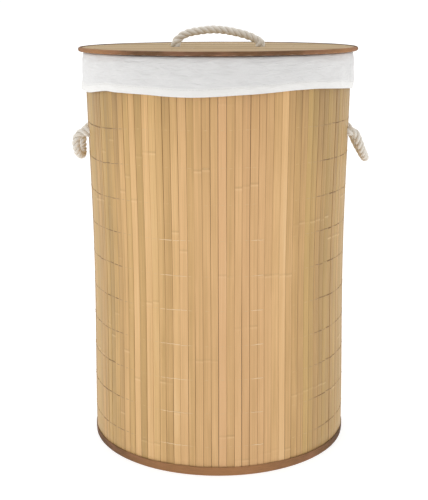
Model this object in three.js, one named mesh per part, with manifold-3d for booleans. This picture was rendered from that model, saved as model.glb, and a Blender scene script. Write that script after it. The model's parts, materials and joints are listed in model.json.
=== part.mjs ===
// A round laundry hamper of bamboo slats: a stiff slat wall on two bentwood hoops and a base panel,
// a removable cloth liner folded over the rim, a loose slatted lid, and three twisted-rope handles.
// Millimetres, +Z up. The origin is the centre of the ring that the hamper stands on.
import * as THREE from "three";
import { mergeVertices } from "three/addons/utils/BufferGeometryUtils.js";
import Module from "manifold-3d";

const wasm = await Module();
wasm.setup();

// ---------------------------------------------------------------- driving dimensions
const fit = 0.3; // gap between pieces that touch
const looseFit = 0.5; // gap between rings that follow the waisted wall

// slat wall
const wallRadius = 200; // outer face of the slats at both hoops
const wallHeight = 600; // top edge of the slats
const wallWaist = 4; // how far the wall draws in at mid height
const slatCount = 112;
const slatThickness = 2;
const backingThickness = 0.6;
const heightSteps = 4; // facets along the height of the waisted wall
const ringSides = slatCount / 2; // the plain rings have a corner at every second slat joint
const ringSpread = 1 / Math.cos(Math.PI / ringSides); // keeps a plain ring's flats off the slats inside it
const waistFacetDepth = (wallWaist / 2) * (1 - Math.cos(Math.PI / heightSteps)); // curve to facet

// bindings, tape folded over both ends of the slats
const tapeThickness = 0.5;
const bottomTapeHeight = 13;
const bottomTapeLip = 5; // how far it reaches inwards under the slats
const topTapeHeight = 18;

// hoops, base and seam
const hoopThickness = 4;
const hoopWidth = 24;
const topHoopDrop = 3; // top edge of the hoop below the rim
const basePanelThickness = 4.5;
const basePanelLift = 2.5; // underside of the panel above the floor
const battenWidth = 20;
const battenThickness = 3;
const battenEndClear = 12; // from each hoop
const tackCount = 6; // in each hoop
const tackShankRadius = 0.8;
const tackHeadRadius = 2;
const tackHeadThickness = 0.7;
const tackBaseLength = 14;
const tackTopBite = 1; // how far a rim tack bites into the slats
const tackSides = 6;
const tackHoleClear = 0.3;

// ropes
const ropeRadius = 5.5;
const ropeSides = 8;
const ropeDomeInset = 0.3; // round end of a rope, inside the flats of its section
const ropeHoleClear = 0.5;
const knotRadius = 9.5;
const knotHalfLength = 8;
const knotSegments = 8;

// side handles
const sideHoleDrop = 116; // below the rim
const sideHoleHalfSpan = 42;
const sideRopeSteps = 18;
// each loop as [outwards from the hinge axis, share of the half span, down], from a foot to its lowest point
const rightLoop = [
  [0, -1, 0],
  [6, -0.98, 5],
  [10, -0.92, 13.5],
  [14.2, -0.79, 24],
  [19, -0.55, 35],
  [22.8, -0.25, 43.4],
  [24, 0, 45.5],
];
const leftLoop = [
  [0, -1, 0],
  [7.4, -1, 3.8],
  [13.2, -0.99, 10.5],
  [15.5, -0.92, 19],
  [15, -0.76, 28.5],
  [13.6, -0.48, 35.8],
  [12.6, -0.2, 39.2],
  [12.2, 0, 39.8],
];

// lid
const lidOverhang = 10.3; // past the slat wall
const lidBoardThickness = 2.2;
const lidSlatThickness = 1.2;
const lidLiningThickness = 0.5;
const lidTapeLip = 5; // tape over the top of the lid
const lidRestDepth = 4; // how far the tape under the lid reaches inside the wall line, to rest on the cuff
const lidSides = 64;
const lidHoleHalfSpan = 63.5;
const lidRopeSteps = 20;
// the arch as [share of the half span, up from the hinge axis]
const lidArch = [
  [-1, 0],
  [-0.955, 4.6],
  [-0.87, 9.6],
  [-0.73, 13.7],
  [-0.45, 17.3],
  [-0.14, 19.3],
  [0.16, 18.1],
  [0.46, 14.5],
  [0.72, 10],
  [0.89, 5.1],
  [1, 0],
];

// liner
const linerThickness = 1.2;
const linerKnotClear = 1.3; // between the hanging bag and the knots inside the wall
const linerFloorClear = 3; // above the base panel
const linerFlareLowDrop = 78; // below the rim, where the bag starts to widen towards it
const linerFlareHighDrop = 22;
const cuffDrop = 51; // hem below the rim, outside

// ---------------------------------------------------------------- derived places
const slatInner = wallRadius - slatThickness;
const backingOuter = slatInner - looseFit;
const backingInner = backingOuter - backingThickness;
const slatFoot = tapeThickness + fit;
const tapeInner = wallRadius * ringSpread + fit;
const tapeOuter = tapeInner + tapeThickness;
const hoopOuter = backingInner - looseFit;
const hoopInner = hoopOuter - hoopThickness;
const topHoopHigh = wallHeight - topHoopDrop;
const topHoopLow = topHoopHigh - hoopWidth;
const basePanelTop = basePanelLift + basePanelThickness;
const baseHoopLow = basePanelTop + fit;
const baseHoopHigh = baseHoopLow + hoopWidth;
const rimTop = wallHeight + fit + tapeThickness;
const linerFloor = basePanelTop + linerFloorClear;
const linerCrown = rimTop + fit + linerThickness;
const lidBottom = linerCrown + fit;
const lidLiningLow = lidBottom + tapeThickness + fit;
const lidBoardLow = lidLiningLow + lidLiningThickness + fit;
const lidSlatLow = lidBoardLow + lidBoardThickness + fit;
const lidSlatTop = lidSlatLow + lidSlatThickness;
const lidTop = lidSlatTop + fit + tapeThickness;
const lidRadius = wallRadius + lidOverhang;
const lidCoreRadius = lidRadius - tapeThickness - fit;
const ropeHoleRadius = ropeRadius + ropeHoleClear;
const ropeDomeRadius = ropeRadius * Math.cos(Math.PI / ropeSides) - ropeDomeInset;
const sideHoleHeight = wallHeight - sideHoleDrop;
const lidHingeHeight = lidSlatTop + ropeRadius + fit;
const sideHingeOut = Math.sqrt((wallRadius + ropeRadius + fit) ** 2 - sideHoleHalfSpan ** 2);
const sideStubEnd = sideHingeOut - ropeRadius - fit;
const knotCentreOut =
  Math.sqrt(backingInner ** 2 - (sideHoleHalfSpan + knotRadius) ** 2) - wallWaist / 2 - knotHalfLength;
const linerRadius = Math.hypot(knotCentreOut, sideHoleHalfSpan) - knotRadius - linerKnotClear;
const linerFlareLow = wallHeight - linerFlareLowDrop;
const linerFlareHigh = wallHeight - linerFlareHighDrop;

// ---------------------------------------------------------------- materials
function paint(colour, roughness, metalness = 0) {
  return new THREE.MeshStandardMaterial({ color: colour, roughness, metalness });
}
const bamboo = () => paint(0xc9a46c, 0.55);
const bentwood = () => paint(0xb98f5a, 0.65);
const brownTape = () => paint(0x7d543c, 0.8);
const backingCloth = () => paint(0xd8cdb8, 0.95);
const fibreboard = () => paint(0x9a7448, 0.8);
const cotton = () => paint(0xe9e8e6, 0.95);
const rope = () => paint(0xd9cdb6, 0.9);
const steel = () => paint(0x9a9a98, 0.4, 0.9);

// ---------------------------------------------------------------- shape helpers
const hamper = new THREE.Group();

function addNode(parent, name, geometry, material) {
  const mesh = new THREE.Mesh(geometry, material);
  mesh.name = name;
  parent.add(mesh);
  return mesh;
}

// A closed three.js geometry as a manifold-3d solid.
function solid(geometry) {
  const bare = geometry.clone();
  bare.deleteAttribute("normal");
  bare.deleteAttribute("uv");
  const merged = mergeVertices(bare, 1e-4);
  return new wasm.Manifold(
    new wasm.Mesh({
      numProp: 3,
      vertProperties: new Float32Array(merged.attributes.position.array),
      triVerts: new Uint32Array(merged.index.array),
    }),
  );
}

// A manifold-3d solid back as a three.js geometry.
function geometryOf(manifold) {
  const mesh = manifold.getMesh();
  const geometry = new THREE.BufferGeometry();
  geometry.setAttribute("position", new THREE.BufferAttribute(mesh.vertProperties, 3));
  geometry.setIndex(new THREE.BufferAttribute(mesh.triVerts, 1));
  geometry.computeVertexNormals();
  return geometry;
}

function cut(geometry, tools) {
  return geometryOf(tools.reduce((body, tool) => body.subtract(solid(tool)), solid(geometry)));
}

function join(geometries) {
  return geometryOf(geometries.map(solid).reduce((body, other) => body.add(other)));
}

// The wall's draw-in at a height: none at the ends, the full waist half way up.
function waistAt(height) {
  return wallWaist * Math.sin((Math.PI * height) / wallHeight) ** 2;
}

// Points of a regular polygon or of an arc of it, with a corner at the front.
function polygonPoints(radius, sides, from = 0, to = sides) {
  const points = [];
  for (let i = from; i <= to; i += 1) {
    const angle = -Math.PI / 2 + (2 * Math.PI * i) / sides;
    points.push(new THREE.Vector2(radius * Math.cos(angle), radius * Math.sin(angle)));
  }
  return points;
}

// A flat outline raised from low to high, each level drawn in by the waist.
function waistedExtrusion(shape, low, high) {
  const geometry = new THREE.ExtrudeGeometry(shape, {
    depth: high - low,
    steps: heightSteps,
    bevelEnabled: false,
    curveSegments: 1,
  });
  geometry.translate(0, 0, low);
  const position = geometry.attributes.position;
  for (let i = 0; i < position.count; i += 1) {
    const x = position.getX(i);
    const y = position.getY(i);
    const radius = Math.hypot(x, y);
    const scale = (radius - waistAt(position.getZ(i))) / radius;
    position.setXY(i, x * scale, y * scale);
  }
  return geometry;
}

function waistedRing(outer, inner, sides, low, high) {
  const shape = new THREE.Shape(polygonPoints(outer, sides, 0, sides - 1));
  shape.holes.push(new THREE.Path(polygonPoints(inner, sides, 0, sides - 1)));
  return waistedExtrusion(shape, low, high);
}

// A closed [radius, height] profile turned round the Z axis.
function turned(profile, sides) {
  const area = profile.reduce((sum, [r, z], i) => {
    const [nextR, nextZ] = profile[(i + 1) % profile.length];
    return sum + r * nextZ - nextR * z;
  }, 0);
  const ordered = area > 0 ? profile : [...profile].reverse();
  const points = [...ordered, ordered[0]].map(([r, z]) => new THREE.Vector2(r, z));
  return new THREE.LatheGeometry(points, sides).rotateX(Math.PI / 2);
}

function ring(outer, inner, low, high, sides) {
  return turned([[inner, low], [outer, low], [outer, high], [inner, high]], sides);
}

function disc(radius, low, high, sides) {
  return new THREE.CylinderGeometry(radius, radius, high - low, sides)
    .rotateX(Math.PI / 2)
    .rotateZ(-Math.PI / 2)
    .translate(0, 0, (low + high) / 2);
}

// A straight round bar between two points.
function bar(radius, start, end, sides) {
  const along = new THREE.Vector3().subVectors(end, start);
  const turn = new THREE.Quaternion().setFromUnitVectors(
    new THREE.Vector3(0, 1, 0),
    along.clone().normalize(),
  );
  const middle = new THREE.Vector3().addVectors(start, end).multiplyScalar(0.5);
  return new THREE.CylinderGeometry(radius, radius, along.length(), sides)
    .applyQuaternion(turn)
    .translate(middle.x, middle.y, middle.z);
}

// A rope along hand-chosen points, with a round end centred on each foot.
function ropeArch(points, steps) {
  const path = new THREE.CatmullRomCurve3(points, false, "centripetal");
  const section = new THREE.Shape(polygonPoints(ropeRadius, ropeSides, 0, ropeSides - 1));
  const tube = new THREE.ExtrudeGeometry(section, {
    steps,
    bevelEnabled: false,
    extrudePath: path,
  });
  const ends = [points[0], points[points.length - 1]].map((foot) =>
    new THREE.SphereGeometry(ropeDomeRadius, ropeSides, ropeSides / 2 + 1).translate(foot.x, foot.y, foot.z),
  );
  return join([tube, ...ends]);
}

// A stopper knot with the bit of rope that runs from it through a hole.
function stopperKnot(centre, stubEnd) {
  const along = new THREE.Vector3().subVectors(stubEnd, centre).normalize();
  const turn = new THREE.Quaternion().setFromUnitVectors(new THREE.Vector3(0, 1, 0), along);
  const knot = new THREE.SphereGeometry(1, knotSegments, knotSegments / 2 + 1)
    .scale(knotRadius, knotHalfLength, knotRadius)
    .applyQuaternion(turn)
    .translate(centre.x, centre.y, centre.z);
  return join([knot, bar(ropeRadius, centre, stubEnd, ropeSides)]);
}

// A round-headed tack from the outside of its head to its point.
function tack(headSpot, direction, length) {
  const profile = [
    [0, 0],
    [tackHeadRadius, 0],
    [tackHeadRadius, tackHeadThickness],
    [tackShankRadius, tackHeadThickness],
    [tackShankRadius, length - tackShankRadius],
    [0, length],
  ];
  const turn = new THREE.Quaternion().setFromUnitVectors(new THREE.Vector3(0, 0, 1), direction);
  const points = profile.map(([r, z]) => new THREE.Vector2(r, z));
  return new THREE.LatheGeometry(points, tackSides)
    .rotateX(Math.PI / 2)
    .applyQuaternion(turn)
    .translate(headSpot.x, headSpot.y, headSpot.z);
}

// ---------------------------------------------------------------- rope holes and tack places
const sides = [
  { name: "left", sign: -1, loop: leftLoop },
  { name: "right", sign: 1, loop: rightLoop },
];
const feet = [
  { name: "front", sign: -1 },
  { name: "back", sign: 1 },
];

function sideHoleCutters() {
  return sides.flatMap((side) =>
    feet.map((foot) => {
      const y = foot.sign * sideHoleHalfSpan;
      const inside = new THREE.Vector3(side.sign * (knotCentreOut - knotHalfLength), y, sideHoleHeight);
      const outside = new THREE.Vector3(side.sign * (wallRadius + ropeRadius), y, sideHoleHeight);
      return bar(ropeHoleRadius, inside, outside, ropeSides);
    }),
  );
}

function lidHoleCutters() {
  return [-1, 1].map((sign) =>
    bar(
      ropeHoleRadius,
      new THREE.Vector3(sign * lidHoleHalfSpan, 0, lidBottom - ropeRadius),
      new THREE.Vector3(sign * lidHoleHalfSpan, 0, lidTop + ropeRadius),
      ropeSides,
    ),
  );
}

// Tack angles, half a step off the front so that none meets the back seam or a rope hole.
const tackAngles = Array.from({ length: tackCount }, (_, i) => (2 * Math.PI * (i + 0.5)) / tackCount);

function baseTackSpots() {
  const radius = (hoopOuter + hoopInner) / 2;
  return tackAngles.map((angle) => ({
    spot: new THREE.Vector3(
      radius * Math.cos(angle),
      radius * Math.sin(angle),
      basePanelLift - fit - tackHeadThickness,
    ),
    direction: new THREE.Vector3(0, 0, 1),
    length: tackBaseLength,
  }));
}

function rimTackSpots() {
  const radius = hoopInner * Math.cos(Math.PI / ringSides) - fit - tackHeadThickness;
  const height = (topHoopLow + topHoopHigh) / 2;
  return tackAngles.map((angle) => ({
    spot: new THREE.Vector3(radius * Math.cos(angle), radius * Math.sin(angle), height),
    direction: new THREE.Vector3(Math.cos(angle), Math.sin(angle), 0),
    length: slatInner + tackTopBite - radius,
  }));
}

function tackCutters(tacks) {
  return tacks.map(({ spot, direction, length }) => {
    const start = spot.clone().addScaledVector(direction, tackHeadThickness);
    const end = spot.clone().addScaledVector(direction, length + tackHoleClear);
    return bar(tackShankRadius + tackHoleClear, start, end, tackSides);
  });
}

// ---------------------------------------------------------------- body of the hamper
function addWall() {
  const rimCutters = tackCutters(rimTackSpots());
  const holes = [...sideHoleCutters(), ...rimCutters];
  const wall = waistedRing(wallRadius, slatInner, slatCount, slatFoot, wallHeight);
  addNode(hamper, "slat_wall", cut(wall, holes), bamboo());
  const backing = waistedRing(backingOuter, backingInner, ringSides, slatFoot, wallHeight);
  addNode(hamper, "wall_backing", cut(backing, holes), backingCloth());
  const topHoop = ring(hoopOuter, hoopInner, topHoopLow, topHoopHigh, ringSides);
  addNode(hamper, "top_hoop", cut(topHoop, rimCutters), bentwood());
}

// A flat strip inside the back of the wall, behind the joint of the slat sheet.
function addSeamBatten() {
  const outer = backingInner / ringSpread - waistFacetDepth - looseFit;
  const inner = outer - battenThickness;
  const halfStep = battenWidth / 2 / outer;
  const back = Math.PI / 2;
  const arc = (radius, angle) => new THREE.Vector2(radius * Math.cos(angle), radius * Math.sin(angle));
  const shape = new THREE.Shape([
    arc(outer, back - halfStep),
    arc(outer, back),
    arc(outer, back + halfStep),
    arc(inner, back + halfStep),
    arc(inner, back),
    arc(inner, back - halfStep),
  ]);
  const low = baseHoopHigh + battenEndClear;
  const high = topHoopLow - battenEndClear;
  addNode(hamper, "seam_batten", waistedExtrusion(shape, low, high), bentwood());
}

function addTapes() {
  const bottom = [
    [wallRadius - bottomTapeLip, 0],
    [tapeOuter, 0],
    [tapeOuter, bottomTapeHeight],
    [tapeInner, bottomTapeHeight],
    [tapeInner, tapeThickness],
    [wallRadius - bottomTapeLip, tapeThickness],
  ];
  addNode(hamper, "bottom_tape", turned(bottom, ringSides), brownTape());
  const top = [
    [backingInner, rimTop],
    [backingInner, rimTop - tapeThickness],
    [tapeInner, rimTop - tapeThickness],
    [tapeInner, rimTop - topTapeHeight],
    [tapeOuter, rimTop - topTapeHeight],
    [tapeOuter, rimTop],
  ];
  addNode(hamper, "top_tape", turned(top, ringSides), brownTape());
}

function addBase() {
  const cutters = tackCutters(baseTackSpots());
  const panel = disc(hoopOuter, basePanelLift, basePanelTop, ringSides);
  addNode(hamper, "base_panel", cut(panel, cutters), fibreboard());
  const hoop = ring(hoopOuter, hoopInner, baseHoopLow, baseHoopHigh, ringSides);
  addNode(hamper, "base_hoop", cut(hoop, cutters), bentwood());
}

function addTacks() {
  const sets = [
    ["base_tack", baseTackSpots()],
    ["rim_tack", rimTackSpots()],
  ];
  for (const [name, tacks] of sets) {
    tacks.forEach(({ spot, direction, length }, i) => {
      addNode(hamper, `${name}_${i + 1}`, tack(spot, direction, length), steel());
    });
  }
}

// ---------------------------------------------------------------- side handles
function addSideHandle(side) {
  const place = ([out, share, down]) =>
    new THREE.Vector3(side.sign * (sideHingeOut + out), share * sideHoleHalfSpan, sideHoleHeight - down);
  const frontHalf = side.loop.map(place);
  const backHalf = side.loop
    .slice(0, -1)
    .reverse()
    .map(([out, share, down]) => place([out, -share, down]));
  const loop = ropeArch([...frontHalf, ...backHalf], sideRopeSteps);
  addNode(hamper, `${side.name}_handle_rope`, loop, rope());
  for (const foot of feet) {
    const y = foot.sign * sideHoleHalfSpan;
    const centre = new THREE.Vector3(side.sign * knotCentreOut, y, sideHoleHeight);
    const end = new THREE.Vector3(side.sign * sideStubEnd, y, sideHoleHeight);
    addNode(hamper, `${side.name}_handle_knot_${foot.name}`, stopperKnot(centre, end), rope());
  }
}

// ---------------------------------------------------------------- liner
function addLiner() {
  const flareRadius = hoopInner * Math.cos(Math.PI / ringSides) - tackHeadThickness - 2 * fit - looseFit;
  const inner = linerRadius - linerThickness;
  const floorTop = linerFloor + linerThickness;
  const floor = disc(linerRadius, linerFloor, floorTop, ringSides);
  addNode(hamper, "liner_floor", floor, cotton());
  const side = [
    [linerRadius, floorTop + fit],
    [linerRadius, linerFlareLow],
    [flareRadius, linerFlareHigh],
    [flareRadius - linerThickness, linerFlareHigh],
    [inner, linerFlareLow],
    [inner, floorTop + fit],
  ];
  addNode(hamper, "liner_side", turned(side, ringSides), cotton());
  const cuffInner = tapeOuter + fit;
  const hem = wallHeight - cuffDrop;
  const cuff = [
    [flareRadius - linerThickness, linerFlareHigh + fit],
    [flareRadius, linerFlareHigh + fit],
    [flareRadius, linerCrown - linerThickness],
    [cuffInner, linerCrown - linerThickness],
    [cuffInner, hem],
    [cuffInner + linerThickness, hem],
    [cuffInner + linerThickness, linerCrown],
    [flareRadius - linerThickness, linerCrown],
  ];
  addNode(hamper, "liner_cuff", turned(cuff, ringSides), cotton());
}

// ---------------------------------------------------------------- lid
function addLid() {
  const holes = lidHoleCutters();
  const layers = [
    ["lid_lining", lidLiningLow, lidLiningThickness, backingCloth()],
    ["lid_board", lidBoardLow, lidBoardThickness, fibreboard()],
    ["lid_slats", lidSlatLow, lidSlatThickness, bamboo()],
  ];
  for (const [name, low, thickness, material] of layers) {
    addNode(hamper, name, cut(disc(lidCoreRadius, low, low + thickness, lidSides), holes), material);
  }
  const upperLip = lidRadius - lidTapeLip;
  const lowerLip = wallRadius - lidRestDepth;
  const tape = [
    [lowerLip, lidBottom],
    [lidRadius, lidBottom],
    [lidRadius, lidTop],
    [upperLip, lidTop],
    [upperLip, lidTop - tapeThickness],
    [lidRadius - tapeThickness, lidTop - tapeThickness],
    [lidRadius - tapeThickness, lidBottom + tapeThickness],
    [lowerLip, lidBottom + tapeThickness],
  ];
  addNode(hamper, "lid_tape", turned(tape, lidSides), brownTape());
}

function addLidHandle() {
  const points = lidArch.map(
    ([share, up]) => new THREE.Vector3(share * lidHoleHalfSpan, 0, lidHingeHeight + up),
  );
  addNode(hamper, "lid_handle_rope", ropeArch(points, lidRopeSteps), rope());
  for (const side of sides) {
    const x = side.sign * lidHoleHalfSpan;
    const centre = new THREE.Vector3(x, 0, lidLiningLow - fit - knotHalfLength);
    const end = new THREE.Vector3(x, 0, lidSlatTop);
    addNode(hamper, `lid_handle_knot_${side.name}`, stopperKnot(centre, end), rope());
  }
}

addWall();
addSeamBatten();
addTapes();
addBase();
addTacks();
sides.forEach(addSideHandle);
addLiner();
addLid();
addLidHandle();

export default hamper;
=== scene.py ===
"""Dresses the laundry hamper: single bamboo slats and their thread, twisted ropes, cloth liner, tape, stage.

Every new piece is a surface worked out with numpy in the hamper's own frame, in metres, +Z up.
"""
import json
import math

import bpy
import numpy as np
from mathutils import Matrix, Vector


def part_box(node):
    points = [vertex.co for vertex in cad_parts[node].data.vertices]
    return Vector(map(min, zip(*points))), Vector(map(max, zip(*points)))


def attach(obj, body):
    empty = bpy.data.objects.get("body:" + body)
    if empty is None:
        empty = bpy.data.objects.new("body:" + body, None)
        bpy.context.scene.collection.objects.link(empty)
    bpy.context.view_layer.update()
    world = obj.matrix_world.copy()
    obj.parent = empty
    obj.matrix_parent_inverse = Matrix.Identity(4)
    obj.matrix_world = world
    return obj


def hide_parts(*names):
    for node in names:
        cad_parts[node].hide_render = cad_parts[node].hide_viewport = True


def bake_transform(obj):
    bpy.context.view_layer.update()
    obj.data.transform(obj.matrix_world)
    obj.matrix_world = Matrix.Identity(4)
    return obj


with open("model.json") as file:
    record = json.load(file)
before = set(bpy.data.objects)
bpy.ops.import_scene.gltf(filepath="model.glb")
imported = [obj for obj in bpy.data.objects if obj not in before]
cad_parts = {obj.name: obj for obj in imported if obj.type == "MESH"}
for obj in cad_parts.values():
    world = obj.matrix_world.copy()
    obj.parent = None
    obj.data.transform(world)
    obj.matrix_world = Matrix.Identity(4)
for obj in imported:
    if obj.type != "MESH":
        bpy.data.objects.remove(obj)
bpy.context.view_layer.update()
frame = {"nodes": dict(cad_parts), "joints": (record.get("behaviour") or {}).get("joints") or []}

bl_info = {
    "name": "Bamboo laundry hamper",
    "version": (1, 0, 0),
    "blender": (4, 5, 0),
    "location": "3D View > Sidebar > Hamper",
    "description": "Builds the finished surfaces of a round bamboo laundry hamper around its design model",
    "category": "Object",
}

MM = 0.001
TURN = 2 * math.pi
FRONT = -math.pi / 2  # the hamper's front faces -Y

WALL_LOW, WALL_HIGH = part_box("slat_wall")
WALL_RADIUS = WALL_HIGH.x
WALL_TOP = WALL_HIGH.z
TAPE_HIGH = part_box("bottom_tape")[1]
RIM_TAPE_LOW, RIM_TAPE_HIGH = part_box("top_tape")
CUFF_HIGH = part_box("liner_cuff")[1]
BAG_LOW, BAG_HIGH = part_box("liner_side")
BAG_FLOOR_LOW, BAG_FLOOR_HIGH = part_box("liner_floor")
LID_SLATS_LOW, LID_SLATS_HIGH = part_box("lid_slats")
LID_TAPE_LOW, LID_TAPE_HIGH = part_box("lid_tape")
JOINT_PLACE = {joint["name"]: joint.get("pos_m") for joint in frame["joints"]}


# ---------------------------------------------------------------- arrays and meshes
def unit(vectors):
    """Each vector divided by its own length."""
    return vectors / np.linalg.norm(vectors, axis=-1, keepdims=True)


def grid_faces(rows, columns, close_columns=True, close_rows=False):
    """Four-cornered faces of a grid, wrapped where closed: corner number = row * columns + column."""
    row = np.arange(rows if close_rows else rows - 1)
    column = np.arange(columns if close_columns else columns - 1)
    row, column = np.meshgrid(row, column, indexing="ij")
    next_row, next_column = (row + 1) % rows, (column + 1) % columns
    corners = [
        row * columns + column,
        row * columns + next_column,
        next_row * columns + next_column,
        next_row * columns + column,
    ]
    return np.stack(corners, axis=-1).reshape(-1, 4)


def end_caps(rows, columns):
    """The two end faces of a tube whose rows run along it, turned to face out of it."""
    first = np.arange(columns)[::-1]
    last = (rows - 1) * columns + np.arange(columns)
    return np.stack([first, last])


def repeated(faces, copies, corners_each):
    """The same faces for each of many copies, shifted by the corners that one copy has."""
    shift = (np.arange(copies) * corners_each)[:, None, None]
    return (faces[None] + shift).reshape(-1, faces.shape[1])


def write_mesh(name, points, face_sets, attributes=None, smooth=True):
    """A new mesh object from corner places, arrays of faces, and named values on the corners."""
    mesh = bpy.data.meshes.new(name)
    points = np.asarray(points, np.float32).reshape(-1, 3)
    counts = np.concatenate([np.full(len(faces), faces.shape[1]) for faces in face_sets])
    corners = np.concatenate([faces.ravel() for faces in face_sets])
    starts = np.concatenate([[0], np.cumsum(counts)[:-1]])
    mesh.vertices.add(len(points))
    mesh.vertices.foreach_set("co", points.ravel())
    mesh.loops.add(len(corners))
    mesh.loops.foreach_set("vertex_index", corners.astype(np.int32))
    mesh.polygons.add(len(counts))
    mesh.polygons.foreach_set("loop_start", starts.astype(np.int32))
    mesh.polygons.foreach_set("use_smooth", np.full(len(counts), smooth))
    mesh.update(calc_edges=True)
    for key, values in (attributes or {}).items():
        values = np.asarray(values, np.float32)
        is_vector = values.ndim > 1 and values.shape[-1] == 3
        kind, field = ("FLOAT_VECTOR", "vector") if is_vector else ("FLOAT", "value")
        mesh.attributes.new(key, kind, "POINT").data.foreach_set(field, values.ravel())
    piece = bpy.data.objects.new(name, mesh)
    bpy.context.scene.collection.objects.link(piece)
    return piece


def finish_piece(piece, body, paint, replaced=()):
    """Gives a piece its finish, its body, and the design nodes that it stands for."""
    piece.data.materials.append(paint)
    if body:
        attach(piece, body)
    if replaced:
        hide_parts(*replaced)
    return piece


# ---------------------------------------------------------------- shared shapes
def wall_radius(height):
    """The slats' outer radius: the full radius less waist * sin(pi * height / wall height)^2."""
    waist = bpy.context.scene.hamper_wall.waist
    return WALL_RADIUS - waist * np.sin(np.pi * height / WALL_TOP) ** 2


def angle_gap(angle, centre):
    """The signed turn from centre to angle, from minus a half turn to a half turn."""
    return (angle - centre + np.pi) % TURN - np.pi


def rounded_outline(corners, radius, arc_steps=4):
    """A closed (radius, height) outline with each corner swapped for a short arc tangent to its sides."""
    corners = np.asarray(corners, float)
    before = unit(np.roll(corners, 1, 0) - corners)
    after = unit(np.roll(corners, -1, 0) - corners)
    share = np.linspace(0, 1, arc_steps + 1)[None, :, None]
    start = (corners + before * radius)[:, None]
    end = (corners + after * radius)[:, None]
    middle = corners[:, None]
    curve = start * (1 - share) ** 2 + 2 * middle * share * (1 - share) + end * share**2
    return curve.reshape(-1, 2)


def turned_ring(name, outline, segments=336, waisted=False, ripple=0.0, seed=0, rise=None, dye_and_shade=None):
    """A closed outline carried round the axis: (r cos a, r sin a, z), r drawn in by the waist where asked.

    ripple lifts and shifts the outline by a few slow waves round the ring, as hand-laid tape does. rise
    scales the outline's height, and dye sets the value that the tape's colour follows, each by the turn from
    the front in radians: painted shade on the foot and lid tapes, one even value on the rim tape.
    """
    rng = np.random.default_rng(seed)
    outline = np.asarray(outline, float)
    angle = FRONT + TURN * np.arange(segments) / segments
    turned = angle_gap(angle, FRONT)
    waves = sum(
        np.sin(count * angle + rng.uniform(0, TURN)) * rng.uniform(0.4, 1) for count in (3, 5, 9, 16, 29)
    )
    radius = outline[:, 0][:, None] + ripple * 0.35 * waves[None]
    height = outline[:, 1][:, None] + 0 * angle[None]
    low = outline[:, 1].min()
    top_share = np.clip((height - low) / max(np.ptp(outline[:, 1]), 1e-6), 0, 1)
    if rise:
        height = low + (height - low) * rise(turned)[None]
    height = height + ripple * top_share * np.roll(waves, segments // 7)[None]
    if waisted:
        radius = radius + wall_radius(height) - WALL_RADIUS
    points = np.stack([radius * np.cos(angle), radius * np.sin(angle), height], -1)
    along = np.broadcast_to(turned[None] * WALL_RADIUS, radius.shape)
    attributes = {"grain": np.stack([along, radius, height], -1).reshape(-1, 3)}
    if dye_and_shade:
        # The value is painted shade by the turn from the front on the foot and lid tapes, one even value on
        # the rim tape.
        attributes["dye_and_shade"] = (dye_and_shade(turned)[None] + 0 * height).ravel()
    faces = grid_faces(len(outline), segments, close_rows=True)
    area = np.sum(outline[:, 0] * np.roll(outline[:, 1], -1) - np.roll(outline[:, 0], -1) * outline[:, 1])
    if area < 0:
        faces = faces[:, ::-1]
    return write_mesh(name, points, [faces], attributes)


def foot_tape_rise(turned):
    """The foot tape is full height in front and behind, and a quarter lower at the sides."""
    return 1 - 0.24 * np.sin(turned) ** 2


def foot_tape_side_shade(turned):
    """Painted shade on the foot tape: palest in front and darkest at the sides, by the squared sine of the
    turn.
    """
    return 0.80 - 1.15 * np.sin(turned) ** 2 + 0.05 * np.sin(9 * turned)


def lid_tape_shade_by_turn(turned):
    """Painted shade on the lid's tape: dark but for a paler stretch either side of the front, with a slow
    mottle.
    """
    aside = np.degrees(np.abs(turned))
    paler = 0.78 * np.exp(-(((aside - 56) / 20) ** 2))
    return -0.12 + paler + 0.08 * np.sin(5 * turned + 1) + 0.05 * np.sin(13 * turned)


def even_dye(turned):
    """One middling shade all the way round."""
    return 0.5 + 0 * turned


def path_through(points, spacing):
    """A smooth curve through given points, cubic pieces whose slopes are the centred differences.

    The result has evenly spaced places, about `spacing` apart.
    """
    points = np.asarray(points, float)
    knots = np.concatenate([[0], np.cumsum(np.linalg.norm(np.diff(points, axis=0), axis=1))])
    slopes = np.gradient(points, knots, axis=0)
    fine = np.linspace(0, knots[-1], 40 * len(points))
    index = np.clip(np.searchsorted(knots, fine, side="right") - 1, 0, len(points) - 2)
    span = (knots[index + 1] - knots[index])[:, None]
    share = (fine - knots[index])[:, None] / span
    curve = (
        (2 * share**3 - 3 * share**2 + 1) * points[index]
        + (share**3 - 2 * share**2 + share) * span * slopes[index]
        + (3 * share**2 - 2 * share**3) * points[index + 1]
        + (share**3 - share**2) * span * slopes[index + 1]
    )
    run = np.concatenate([[0], np.cumsum(np.linalg.norm(np.diff(curve, axis=0), axis=1))])
    even = np.linspace(0, run[-1], max(8, int(run[-1] / spacing)))
    return np.stack([np.interp(even, run, curve[:, axis]) for axis in range(3)], -1), even


def steady_frames(path):
    """Two side directions along a path that don't twist about it.

    Plain sides are the cross products of the tangent with one fixed direction. The turn that they make about
    the tangent from step to step is measured, summed along the path and taken out again.
    """
    tangent = unit(np.gradient(path, axis=0))
    plain = unit(np.cross(tangent, [0.3, 0.8, 0.52]))
    across = np.cross(tangent, plain)
    carried = plain[:-1] - tangent[1:] * np.sum(plain[:-1] * tangent[1:], -1, keepdims=True)
    step = np.arctan2(np.sum(carried * across[1:], -1), np.sum(carried * plain[1:], -1))
    turn = np.concatenate([[0], np.cumsum(step)])[:, None]
    side = np.cos(turn) * plain + np.sin(turn) * across
    return tangent, side, np.cross(tangent, side)


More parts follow.
